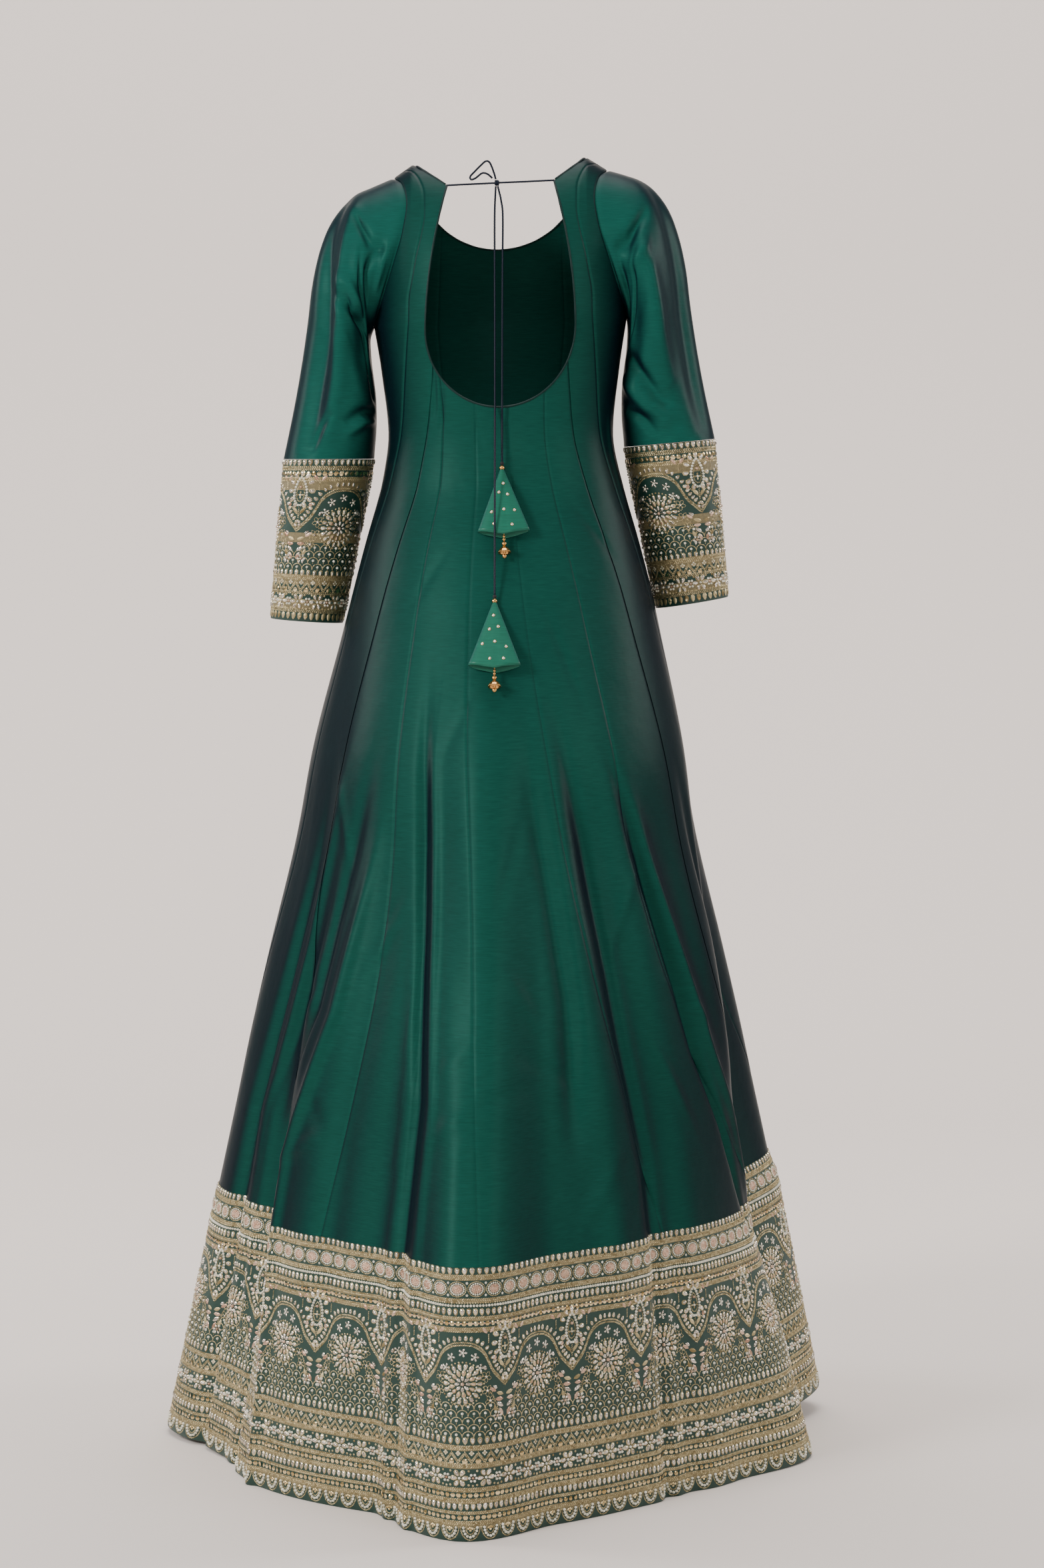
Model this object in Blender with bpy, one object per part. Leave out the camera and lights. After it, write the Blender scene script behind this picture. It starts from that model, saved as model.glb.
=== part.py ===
"""Anarkali gown in its worn form, in metres, +Z up.

Twelve flared panels run in one from the shoulders to the embroidered border at the hem. The back has a deep
oval cut-out with a cord tied across it, and the set-in sleeves end in embroidered cuffs. The origin is midway
between the two shoulder ridges, where a wearer's shoulders hold the gown up. +X is the wearer's right,
+Y is the wearer's front. Heights in the tables are above the floor, and one empty sets the gown under its origin.
"""

import math

import bmesh
import bpy
import numpy as np
from mathutils.bvhtree import BVHTree

SHOULDER_HEIGHT = 1.482
WALL = 0.0016
SEAM_GAP = 0.0003
BORDER_HEIGHT = 0.290
WAIST_HEIGHT = 1.110
CHEST_HEIGHT = 1.250
ARMPIT_HEIGHT = 1.300
SHOULDER_RISE = SHOULDER_HEIGHT - ARMPIT_HEIGHT
SECTION_POWER = 2.1

# The worn body's sections from the waist up: half width, depth behind and before the centre, sideways shift.
BODICE = [
    {"height": 1.110, "half_width": 0.1390, "back": 0.108, "front": 0.100, "shift": 0.004},
    {"height": 1.170, "half_width": 0.1290, "back": 0.102, "front": 0.100, "shift": 0.002},
    {"height": 1.245, "half_width": 0.1365, "back": 0.109, "front": 0.120, "shift": 0.002},
    {"height": 1.300, "half_width": 0.1450, "back": 0.115, "front": 0.128, "shift": 0.002},
]

# The skirt's smooth section at the border's top, before its folds.
SKIRT_HALF_WIDTH = 0.325
SKIRT_BACK = 0.380
SKIRT_FRONT = 0.345

# How much of the flare, from the waist to the border, the skirt has at each height.
FLARE = [
    {"height": 0.29, "share": 1.000},
    {"height": 0.39, "share": 0.893},
    {"height": 0.475, "share": 0.805},
    {"height": 0.57, "share": 0.695},
    {"height": 0.708, "share": 0.524},
    {"height": 0.809, "share": 0.428},
    {"height": 0.944, "share": 0.243},
    {"height": 1.047, "share": 0.100},
    {"height": 1.110, "share": 0.000},
]
FOLDS_START = 1.00
FOLDS_POWER = 1.25

# The crests and valleys of the folds, by the angle from the centre back towards the wearer's right:
# the radius at the border's top and at the hem, and how far the hem hangs above the floor.
FOLDS = [
    {"fold": "centre back crest", "angle": -5, "border": 0.442, "hem": 0.452, "lift": 0.000},
    {"fold": "centre back, right slope", "angle": 9, "border": 0.366, "hem": 0.386, "lift": 0.000},
    {"fold": "wide back hollow", "angle": 33, "border": 0.312, "hem": 0.338, "lift": 0.000},
    {"fold": "wide back hollow, right", "angle": 53, "border": 0.296, "hem": 0.331, "lift": 0.000},
    {"fold": "right back crest", "angle": 75, "border": 0.294, "hem": 0.367, "lift": 0.002},
    {"fold": "right deep valley", "angle": 93, "border": 0.268, "hem": 0.322, "lift": 0.012},
    {"fold": "right front crest", "angle": 114, "border": 0.350, "hem": 0.414, "lift": 0.030},
    {"fold": "front valley 1", "angle": 131, "border": 0.316, "hem": 0.368, "lift": 0.032},
    {"fold": "front crest 1", "angle": 147, "border": 0.354, "hem": 0.424, "lift": 0.034},
    {"fold": "front valley 2", "angle": 163, "border": 0.322, "hem": 0.372, "lift": 0.035},
    {"fold": "front crest 2", "angle": 179, "border": 0.362, "hem": 0.430, "lift": 0.036},
    {"fold": "front valley 3", "angle": 195, "border": 0.320, "hem": 0.370, "lift": 0.034},
    {"fold": "front crest 3", "angle": 211, "border": 0.352, "hem": 0.422, "lift": 0.030},
    {"fold": "front valley 4", "angle": 227, "border": 0.314, "hem": 0.366, "lift": 0.026},
    {"fold": "front crest 4", "angle": 243, "border": 0.346, "hem": 0.414, "lift": 0.018},
    {"fold": "left hollow", "angle": 253, "border": 0.326, "hem": 0.380, "lift": 0.013},
    {"fold": "left crest", "angle": 264, "border": 0.336, "hem": 0.398, "lift": 0.008},
    {"fold": "left slope", "angle": 283, "border": 0.300, "hem": 0.344, "lift": 0.003},
    {"fold": "left valley", "angle": 295, "border": 0.286, "hem": 0.341, "lift": 0.000},
    {"fold": "left back crest", "angle": 310, "border": 0.323, "hem": 0.352, "lift": 0.000},
    {"fold": "left back hollow", "angle": 337, "border": 0.350, "hem": 0.362, "lift": 0.000},
    {"fold": "narrow back valley", "angle": 343, "border": 0.374, "hem": 0.396, "lift": 0.000},
]

# The panel seams in order round the gown, as angles from the centre back at four heights.
KNEE_HEIGHT = 0.62
SEAMS = [
    {"seam": "A", "chest": -36.0, "waist": -36.0, "knee": -30.0, "border": -37.0},
    {"seam": "B", "chest": -16.0, "waist": -15.0, "knee": -6.0, "border": -3.0},
    {"seam": "C", "chest": 4.0, "waist": 6.0, "knee": 20.0, "border": 36.5},
    {"seam": "D", "chest": 26.0, "waist": 29.5, "knee": 43.0, "border": 78.0},
    {"seam": "E", "chest": 39.4, "waist": 50.0, "knee": 68.0, "border": 100.0},
    {"seam": "F", "chest": 57.0, "waist": 71.0, "knee": 94.0, "border": 122.0},
    {"seam": "G", "chest": 90.0, "waist": 97.0, "knee": 120.0, "border": 144.0},
    {"seam": "H", "chest": 146.0, "waist": 150.0, "knee": 156.0, "border": 168.0},
    {"seam": "I", "chest": 214.0, "waist": 210.0, "knee": 204.0, "border": 197.0},
    {"seam": "J", "chest": 270.0, "waist": 263.0, "knee": 246.0, "border": 226.0},
    {"seam": "K", "chest": 303.0, "waist": 289.0, "knee": 272.0, "border": 254.0},
    {"seam": "L", "chest": 320.6, "waist": 310.0, "knee": 300.0, "border": 292.0},
]

# The back cut-out: half an ellipse below, closing to its two tie corners above.
CUTOUT_HALF_WIDTH = 0.085
CUTOUT_WIDEST = 1.290
CUTOUT_DROP = 0.090
TIE_CORNER_X = 0.061
TIE_CORNER_HEIGHT = 1.4535
CUTOUT_POWER = 1.8
NECK_X = 0.0995
NECK_DROP = 0.095
FRONT_SEAM_NECK_X = 0.070
CUTOUT_CENTRE = (0.0, -0.11, 1.34)
NECK_CENTRE = (0.0, 0.02, 1.52)
NECK_PIPING_START = 0.25

# Rows of the shoulder, from the armpit's height to the ridge: where the armhole and the princess seam run.
SHOULDER = [
    {"armhole_x": 0.1450, "armhole": 1.300, "seam_x": 0.1045, "seam": 1.300, "edge": 1.3000},
    {"armhole_x": 0.1415, "armhole": 1.311, "seam_x": 0.1040, "seam": 1.325, "edge": 1.3250},
    {"armhole_x": 0.1355, "armhole": 1.328, "seam_x": 0.1000, "seam": 1.350, "edge": 1.3500},
    {"armhole_x": 0.1280, "armhole": 1.351, "seam_x": 0.0955, "seam": 1.375, "edge": 1.3750},
    {"armhole_x": 0.1195, "armhole": 1.378, "seam_x": 0.0900, "seam": 1.398, "edge": 1.4010},
    {"armhole_x": 0.1115, "armhole": 1.405, "seam_x": 0.0865, "seam": 1.422, "edge": 1.4270},
    {"armhole_x": 0.1070, "armhole": 1.437, "seam_x": 0.0870, "seam": 1.445, "edge": 1.4535},
    {"armhole_x": 0.1120, "armhole": 1.465, "seam_x": 0.0950, "seam": 1.467, "edge": 1.4700},
    {"armhole_x": 0.1220, "armhole": 1.482, "seam_x": 0.1110, "seam": 1.482, "edge": 1.4820},
]
TIE_CORNER_ROW = 6
NECKLINE_ROW = 3
SHOULDER_DROP = 0.65

# The wearer's right shoulder is a little higher, and this slope fades out at the waist.
TILT = 0.047

# The panels beside the opening: the seam where each starts, and its edges in order on the wearer's right.
SIDE_PANELS = [
    {
        "panel": "back_shoulder_panel",
        "right": 4,
        "left": 10,
        "columns": 6,
        "first": "cut-out",
        "last": "back seam",
        "side": -1,
    },
    {
        "panel": "side_panel",
        "right": 5,
        "left": 9,
        "columns": 6,
        "first": "back seam",
        "last": "armhole",
        "side": -1,
    },
    {
        "panel": "front_panel",
        "right": 6,
        "left": 8,
        "columns": 7,
        "first": "armhole",
        "last": "front seam",
        "side": 1,
    },
]
FRONT_CENTRE = 7
FIRST_BACK = 11
BACK_PANELS = range(1, 6)
WIDE_COLUMNS = 8

LOWER_ROWS = [0.0, 0.09, 0.18, 0.27, 0.36, 0.45, 0.54, 0.63, 0.71, 0.79, 0.86, 0.93, 1.0]
CHEST_LEVELS = [0.5 * (CHEST_HEIGHT + ARMPIT_HEIGHT), ARMPIT_HEIGHT]
BORDER_ROWS = 3

# Rings of the sleeve from the armhole to the cuff: its outer and inner points, its half depth and its centre's Y.
SLEEVE = [
    {"outer_x": 0.1450, "outer": 1.4590, "inner_x": 0.1475, "inner": 1.285, "depth": 0.062, "y": 0.000},
    {"outer_x": 0.1710, "outer": 1.4480, "inner_x": 0.1465, "inner": 1.262, "depth": 0.066, "y": 0.001},
    {"outer_x": 0.1915, "outer": 1.4240, "inner_x": 0.1440, "inner": 1.243, "depth": 0.067, "y": 0.003},
    {"outer_x": 0.2050, "outer": 1.3920, "inner_x": 0.1415, "inner": 1.222, "depth": 0.066, "y": 0.005},
    {"outer_x": 0.2145, "outer": 1.3520, "inner_x": 0.1408, "inner": 1.203, "depth": 0.064, "y": 0.008},
    {"outer_x": 0.2205, "outer": 1.3060, "inner_x": 0.1410, "inner": 1.186, "depth": 0.061, "y": 0.011},
    {"outer_x": 0.2280, "outer": 1.2580, "inner_x": 0.1420, "inner": 1.172, "depth": 0.058, "y": 0.014},
    {"outer_x": 0.2370, "outer": 1.2100, "inner_x": 0.1430, "inner": 1.162, "depth": 0.055, "y": 0.017},
    {"outer_x": 0.2490, "outer": 1.1545, "inner_x": 0.1440, "inner": 1.150, "depth": 0.051, "y": 0.021},
]
CUFF = [
    {"outer_x": 0.2490, "outer": 1.1540, "inner_x": 0.1440, "inner": 1.1495, "depth": 0.051, "y": 0.021},
    {"outer_x": 0.2550, "outer": 1.0920, "inner_x": 0.1560, "inner": 1.0860, "depth": 0.049, "y": 0.029},
    {"outer_x": 0.2610, "outer": 1.0320, "inner_x": 0.1690, "inner": 1.0240, "depth": 0.047, "y": 0.037},
    {"outer_x": 0.2665, "outer": 0.9716, "inner_x": 0.1820, "inner": 0.9620, "depth": 0.045, "y": 0.045},
]
ARMHOLE_GAP = 0.0009

# The sleeve's soft folds: the angle round the sleeve from its outer side towards the back, the half width of the
# fold in degrees, the rings where it starts and ends, and how far it stands out.
SLEEVE_FOLDS = [
    {"fold": "outer hollow", "angle": 48, "half": 26, "start": 1.0, "end": 9.0, "depth": -0.007},
    {"fold": "back ridge", "angle": 88, "half": 22, "start": 0.5, "end": 7.5, "depth": 0.006},
    {"fold": "armpit hollow", "angle": 122, "half": 18, "start": 0.5, "end": 5.0, "depth": -0.007},
    {"fold": "inner ridge", "angle": 150, "half": 16, "start": 1.0, "end": 4.0, "depth": 0.003},
    {"fold": "front ridge", "angle": -70, "half": 24, "start": 0.5, "end": 8.0, "depth": 0.005},
    {"fold": "front hollow", "angle": -112, "half": 20, "start": 0.5, "end": 6.0, "depth": -0.006},
]

TIE_RADIUS = 0.0012
PIPING_RADIUS = 0.0011
KNOT_X = -0.002
KNOT_RADIUS = 0.0036
TIE_STEP = 0.004
CORD_STEP = 0.008
HANG_STEP = 0.002
CORD_LIFT = TIE_RADIUS + 0.0008
OVER_EDGE = 1.2025
UNDER_EDGE = 1.188
OVER_PIPING = 0.0012
CLEAR = 0.0004

# The small loop left at the knot, as steps across, back and up from the knot's centre.
TIE_LOOP = [
    (-0.0012, -0.0004, 0.0040),
    (-0.0035, -0.0010, 0.0120),
    (-0.0080, -0.0015, 0.0225),
    (-0.0125, -0.0018, 0.0240),
    (-0.0180, -0.0018, 0.0195),
    (-0.0250, -0.0016, 0.0125),
    (-0.0300, -0.0014, 0.0070),
    (-0.0290, -0.0030, 0.0035),
    (-0.0240, -0.0040, 0.0050),
    (-0.0165, -0.0045, 0.0105),
    (-0.0105, -0.0042, 0.0095),
    (-0.0050, -0.0030, 0.0050),
]

# The latkans on the two ends: where the cord hangs, and the heights of the cone's apex and rim and their X.
LATKANS = [
    {"latkan": "short", "spread": 0.0046, "x": 0.0040, "apex": 1.1300, "rim": 1.0620, "rim_x": 0.0060},
    {"latkan": "long", "spread": -0.0046, "x": -0.0040, "apex": 0.9825, "rim": 0.9150, "rim_x": -0.0040},
]
BEAD_RADIUS = 0.0030
KNOT_SMALL = 0.0022
BEAD_END = 0.42 * math.pi
BEAD_SEAT = 0.0027
CONE_SIDES = 16
CONE_BOW = 0.006
CONE_TOP = 0.0026
CONE_HALF_WIDTH = 0.0295
CONE_HALF_DEPTH = 0.0080
CONE_WALL = 0.0011

# The charm's outline below the cone: the distance under the rim and the radius there.
CHARM = [
    {"part": "stem under the bead", "below": -0.058, "radius": 0.0008},
    {"part": "stem at the rim", "below": 0.0045, "radius": 0.0008},
    {"part": "first bead", "below": 0.0060, "radius": 0.0016},
    {"part": "between", "below": 0.0078, "radius": 0.0009},
    {"part": "second bead", "below": 0.0096, "radius": 0.0017},
    {"part": "under it", "below": 0.0114, "radius": 0.0009},
    {"part": "third bead", "below": 0.0146, "radius": 0.0026},
    {"part": "cap's neck", "below": 0.0178, "radius": 0.0012},
    {"part": "cap's crown", "below": 0.0198, "radius": 0.0040},
    {"part": "cap's skirt", "below": 0.0232, "radius": 0.0064},
    {"part": "cap's rim", "below": 0.0250, "radius": 0.0074},
    {"part": "cap's floor", "below": 0.0254, "radius": 0.0050},
    {"part": "under the cap", "below": 0.0270, "radius": 0.0012},
    {"part": "end bead", "below": 0.0296, "radius": 0.0024},
    {"part": "end", "below": 0.0320, "radius": 0.0008},
]


def column(table, name):
    return np.array([row[name] for row in table], float)


def smooth(xs, ys, x):
    """A smooth curve through the points (xs, ys) that never overshoots them, read at x."""
    step = np.diff(xs)
    slope = np.diff(ys) / step
    tangent = np.empty(len(xs))
    tangent[0] = slope[0]
    tangent[-1] = slope[-1]
    before, after = slope[:-1], slope[1:]
    rising = before * after > 0
    total = np.where(rising, before + after, 1.0)
    tangent[1:-1] = np.where(rising, 2 * before * after / total, 0.0)
    i = np.clip(np.searchsorted(xs, x) - 1, 0, len(step) - 1)
    t = np.clip((x - xs[i]) / step[i], 0, 1)
    rise = (3 - 2 * t) * t * t
    return (
        ys[i] * (1 - rise)
        + ys[i + 1] * rise
        + step[i] * t * (1 - t) * (tangent[i] * (1 - t) - tangent[i + 1] * t)
    )


def fold_value(angle, name):
    """A column of the fold table, read round the whole gown."""
    angles, values = column(FOLDS, "angle"), column(FOLDS, name)
    angles = np.concatenate([angles[-2:] - 360, angles, angles[:2] + 360])
    values = np.concatenate([values[-2:], values, values[:2]])
    return smooth(angles, values, (np.asarray(angle, float) + 20) % 360 - 20)


def hem_height(angle):
    return fold_value(angle, "lift")


def border_height(angle):
    return BORDER_HEIGHT + hem_height(angle)


def oval_radius(angle, half_width, back, front):
    """The radius of a rounded section in the direction of an angle from the centre back."""
    turn = np.radians(angle)
    depth = np.where(np.cos(turn) > 0, back, front)
    across = np.abs(np.sin(turn) / half_width) ** SECTION_POWER
    along = np.abs(np.cos(turn) / np.maximum(depth, 1e-6)) ** SECTION_POWER
    return (across + along) ** (-1 / SECTION_POWER)


def bodice_value(height, name):
    return smooth(column(BODICE, "height"), column(BODICE, name), height)


def shoulder_share(height):
    """How much of the chest's depth is left above the armpit's height."""
    rise = np.clip((height - ARMPIT_HEIGHT) / SHOULDER_RISE, 0, 1)
    return np.sqrt(1 - rise * rise)


def radius(angle, height):
    """The gown's outer radius about its vertical axis, from the hem to the shoulders."""
    angle, height = np.broadcast_arrays(np.asarray(angle, float), np.asarray(height, float))
    level = np.clip(height, WAIST_HEIGHT, ARMPIT_HEIGHT)
    share = shoulder_share(height)
    torso = oval_radius(
        angle,
        bodice_value(level, "half_width"),
        bodice_value(level, "back") * share,
        bodice_value(level, "front") * share,
    )
    base = oval_radius(angle, SKIRT_HALF_WIDTH, SKIRT_BACK, SKIRT_FRONT)
    border = fold_value(angle, "border")
    top, hem = border_height(angle), hem_height(angle)
    flare = smooth(column(FLARE, "height"), column(FLARE, "share"), np.clip(height, BORDER_HEIGHT, WAIST_HEIGHT))
    grow = np.clip((FOLDS_START - height) / (FOLDS_START - top), 0, 1) ** FOLDS_POWER
    skirt = torso + (base - torso) * flare + (border - base) * grow
    down = np.clip((top - height) / (top - hem), 0, 1)
    return skirt + (fold_value(angle, "hem") - border) * down


def polar_point(angle, height):
    angle, height = np.broadcast_arrays(np.asarray(angle, float), np.asarray(height, float))
    out = radius(angle, height)
    turn = np.radians(angle)
    shift = bodice_value(np.clip(height, WAIST_HEIGHT, ARMPIT_HEIGHT), "shift")
    return np.stack([out * np.sin(turn) + shift, -out * np.cos(turn), height], axis=-1)


def shoulder_point(x, height, side):
    """A point of the bodice, by its distance from the centre and its height. side is -1 behind and 1 before."""
    x, height = np.broadcast_arrays(np.asarray(x, float), np.asarray(height, float))
    level = np.clip(height, WAIST_HEIGHT, ARMPIT_HEIGHT)
    depth = bodice_value(level, "back" if side < 0 else "front") * shoulder_share(height)
    left = np.clip(1 - np.abs(x / bodice_value(level, "half_width")) ** SECTION_POWER, 0, 1)
    y = side * np.maximum(depth * left ** (1 / SECTION_POWER), SEAM_GAP / 2)
    return np.stack([x + bodice_value(level, "shift"), y, height], axis=-1)


def outward(points):
    """The outward normals of the gown's surface at some of its points."""
    chest = BODICE[-1]

    def skirt_depth(p):
        height = p[..., 2]
        shift = bodice_value(np.clip(height, WAIST_HEIGHT, ARMPIT_HEIGHT), "shift")
        x, y = p[..., 0] - shift, p[..., 1]
        return np.hypot(x, y) - radius(np.degrees(np.arctan2(x, -y)) % 360, height)

    def shoulder_depth(p):
        rise = (p[..., 2] - ARMPIT_HEIGHT) / SHOULDER_RISE
        x = (p[..., 0] - chest["shift"]) / chest["half_width"]
        depth = np.where(p[..., 1] < 0, chest["back"], chest["front"])
        left = np.clip(1 - np.abs(x) ** SECTION_POWER, 0, 1) ** (2 / SECTION_POWER)
        return (p[..., 1] / depth) ** 2 - (1 - rise * rise) * left

    normals = []
    for depth in (skirt_depth, shoulder_depth):
        slope = np.zeros(points.shape)
        for axis in range(3):
            step = np.zeros(3)
            step[axis] = 0.0005
            slope[..., axis] = depth(points + step) - depth(points - step)
        normals.append(slope / np.linalg.norm(slope, axis=-1, keepdims=True))
    upper = (points[..., 2] > ARMPIT_HEIGHT + 0.002)[..., None]
    return np.where(upper, normals[1], normals[0])


def worn(points):
    """Tilts the bodice with the shoulders and lets them fall away from the neck."""
    x, height = points[..., 0], points[..., 2]
    fade = np.clip((height - WAIST_HEIGHT) / (ARMPIT_HEIGHT - WAIST_HEIGHT), 0, 1)
    rise = np.clip((height - ARMPIT_HEIGHT) / SHOULDER_RISE, 0, 1)
    moved = points.copy()
    moved[..., 2] += TILT * x * fade - SHOULDER_DROP * np.maximum(np.abs(x) - NECK_X, 0) * rise**2
    return moved


def tilted(points):
    """Tilts an arm's worth of cloth with the shoulders."""
    moved = points.copy()
    moved[..., 2] += TILT * points[..., 0]
    return moved


def seam_angle(index, height):
    seam = SEAMS[index % len(SEAMS)]
    turns = 360 * (index // len(SEAMS))
    heights = np.array([BORDER_HEIGHT, KNEE_HEIGHT, WAIST_HEIGHT, CHEST_HEIGHT])
    angles = np.array([seam["border"], seam["knee"], seam["waist"], seam["chest"]])
    return turns + smooth(heights, angles, np.clip(height, BORDER_HEIGHT, CHEST_HEIGHT))


def cutout_half_width(height):
    low = np.clip((CUTOUT_WIDEST - height) / CUTOUT_DROP, 0, 1)
    high = np.clip((height - CUTOUT_WIDEST) / (TIE_CORNER_HEIGHT - CUTOUT_WIDEST), 0, 1)
    below = CUTOUT_HALF_WIDTH * np.sqrt(1 - low * low)
    above = CUTOUT_HALF_WIDTH - (CUTOUT_HALF_WIDTH - TIE_CORNER_X) * high**CUTOUT_POWER
    return np.where(height < CUTOUT_WIDEST, below, above)


def cutout_height(angle):
    """The height of the cut-out's lower edge where it meets an angle."""
    height = np.full(np.shape(angle), CUTOUT_WIDEST - CUTOUT_DROP)
    for _ in range(12):
        across = radius(angle, height) * np.sin(np.radians(angle))
        level = np.sqrt(np.clip(1 - (across / CUTOUT_HALF_WIDTH) ** 2, 0, 1))
        height = 0.5 * height + 0.5 * (CUTOUT_WIDEST - CUTOUT_DROP * level)
    return np.minimum(height, CHEST_HEIGHT)


def back_edge_x(height):
    """The inner edge of a back shoulder panel: the cut-out up to the tie corner, then the neck."""
    neck = TIE_CORNER_X + (NECK_X - TIE_CORNER_X) * np.clip(
        (height - TIE_CORNER_HEIGHT) / (SHOULDER_HEIGHT - TIE_CORNER_HEIGHT), 0, 1
    )
    return np.where(height > TIE_CORNER_HEIGHT, neck, cutout_half_width(height))


def neckline_height(x):
    return SHOULDER_HEIGHT - NECK_DROP * np.sqrt(np.clip(1 - (x / NECK_X) ** 2, 0, 1))


def front_edge():
    """The inner edge of a front panel above the armpit: its princess seam, then the round neckline."""
    corner = neckline_height(FRONT_SEAM_NECK_X)
    chest_x = abs(shoulder_x_at(146.0))
    along = np.linspace(0, 1, NECKLINE_ROW + 1)
    seam_x = chest_x + (FRONT_SEAM_NECK_X - chest_x) * along
    seam_height = ARMPIT_HEIGHT + (corner - ARMPIT_HEIGHT) * along
    start = math.asin(FRONT_SEAM_NECK_X / NECK_X)
    turn = np.linspace(start, math.pi / 2, len(SHOULDER) - NECKLINE_ROW)[1:]
    neck_x = NECK_X * np.sin(turn)
    neck_height = SHOULDER_HEIGHT - NECK_DROP * np.cos(turn)
    return np.concatenate([seam_x, neck_x]), np.concatenate([seam_height, neck_height])


def shoulder_x_at(angle):
    return float(radius(angle, ARMPIT_HEIGHT) * math.sin(math.radians(angle)))


def spin_of(x):
    """The section angle that gives a distance from the centre, so that columns spread evenly round a side."""
    return np.arcsin(np.clip(np.abs(x) / BODICE[-1]["half_width"], 0, 1) ** (SECTION_POWER / 2))


def across_of(spin):
    return BODICE[-1]["half_width"] * np.sin(spin) ** (2 / SECTION_POWER)


def shoulder_rows(inner_x, inner_height, outer_x, outer_height, columns, side, hand):
    """Rows between two edges of the upper bodice. hand is 1 on the wearer's right and -1 on the left."""
    share = np.linspace(0, 1, columns + 1)
    spin = np.outer(spin_of(inner_x), 1 - share) + np.outer(spin_of(outer_x), share)
    height = np.outer(inner_height, 1 - share) + np.outer(outer_height, share)
    return shoulder_point(hand * across_of(spin), height, side)


def panel_angles(index, columns, level, top):
    """The angles and heights of one row of a panel, at a share of the way from the border's top to a level."""
    share = np.linspace(0, 1, columns + 1)
    angle = seam_angle(index, BORDER_HEIGHT) * (1 - share) + seam_angle(index + 1, BORDER_HEIGHT) * share
    for _ in range(8):
        start = border_height(angle) + SEAM_GAP / 2
        height = start + (top(angle) - start) * level
        angle = seam_angle(index, height) * (1 - share) + seam_angle(index + 1, height) * share
    return angle, height


def panel_row(angle, height):
    """A row of points at the outer surface, stopping short of the seams at both ends by half a seam gap."""
    spare = np.degrees(SEAM_GAP / 2 / radius(angle, height))
    return polar_point(angle + spare * np.linspace(1, -1, len(angle)), height)


def lower_rows(index, columns, top):
    return np.array([panel_row(*panel_angles(index, columns, level, top)) for level in LOWER_ROWS])


def border_rows(index, columns, top):
    """Rows of the border under a panel, in line with the panel's columns."""
    angle, _ = panel_angles(index, columns, 0.0, top)
    low, high = hem_height(angle), border_height(angle) - SEAM_GAP / 2
    levels = np.linspace(0, 1, BORDER_ROWS + 1)
    return np.array([panel_row(angle, low + (high - low) * level) for level in levels])


def angle_at(x, height, side):
    """The angle from the centre back of a point of the bodice at a distance from the centre."""
    level = min(max(height, WAIST_HEIGHT), ARMPIT_HEIGHT)
    half_width = float(bodice_value(level, "half_width"))
    depth = float(bodice_value(level, "back" if side < 0 else "front")) * float(shoulder_share(height))
    left = max(1 - abs(x / half_width) ** SECTION_POWER, 0) ** (1 / SECTION_POWER)
    return math.degrees(math.atan2(x, -side * depth * left)) % 360


def solid(name, vertices, faces, material):
    mesh = bpy.data.meshes.new(name)
    mesh.from_pydata([tuple(map(float, v)) for v in vertices], [], faces)
    mesh.materials.append(material)
    tool = bmesh.new()
    tool.from_mesh(mesh)
    bmesh.ops.recalc_face_normals(tool, faces=tool.faces)
    tool.to_mesh(mesh)
    tool.free()
    mesh.shade_smooth()
    mesh.set_sharp_from_angle(angle=math.radians(40))
    made = bpy.data.objects.new(name, mesh)
    bpy.context.scene.collection.objects.link(made)
    made.parent = floor_frame
    return made


def wall(name, outer, normals, material, thickness=WALL, closed=False):
    """A closed solid between a grid of outer points and the same grid moved in along its normals."""
    rows, columns = outer.shape[:2]
    inner = outer - thickness * normals
    vertices = np.concatenate([outer.reshape(-1, 3), inner.reshape(-1, 3)])
    inside = rows * columns
    faces = []
    last = columns if closed else columns - 1
    for r in range(rows - 1):
        for c in range(last):
            a, b = r * columns + c, r * columns + (c + 1) % columns
            d, e = a + columns, b + columns
            faces += [(a, b, e), (a, e, d)]
            faces += [(inside + a, inside + e, inside + b), (inside + a, inside + d, inside + e)]
    for c in range(last):
        for row in (0, rows - 1):
            a, b = row * columns + c, row * columns + (c + 1) % columns
            faces += [(a, inside + a, inside + b), (a, inside + b, b)]
    if not closed:
        for r in range(rows - 1):
            for edge in (0, columns - 1):
                a, d = r * columns + edge, (r + 1) * columns + edge
                faces += [(a, inside + a, inside + d), (a, inside + d, d)]
    return solid(name, vertices, faces, material)


def body_wall(name, outer, material):
    normals = outward(outer)
    inner = worn(outer - WALL * normals)
    outer = worn(outer)
    return wall(name, outer, outer - inner, material, thickness=1.0)


def cord(name, points, thickness, material, resolution=2):
    """A round cord through points in floor heights, as a curve with filled ends."""
    curve = bpy.data.curves.new(name, "CURVE")
    curve.dimensions = "3D"
    curve.bevel_depth = thickness
    curve.bevel_resolution = resolution
    curve.use_fill_caps = True
    curve.render_resolution_u = 0
    spline = curve.splines.new("POLY")
    spline.points.add(len(points) - 1)
    for place, point in zip(spline.points, points):
        place.co = (*map(float, point), 1.0)
    curve.materials.append(material)
    made = bpy.data.objects.new(name, curve)
    bpy.context.scene.collection.objects.link(made)
    made.parent = floor_frame
    return made


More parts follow.
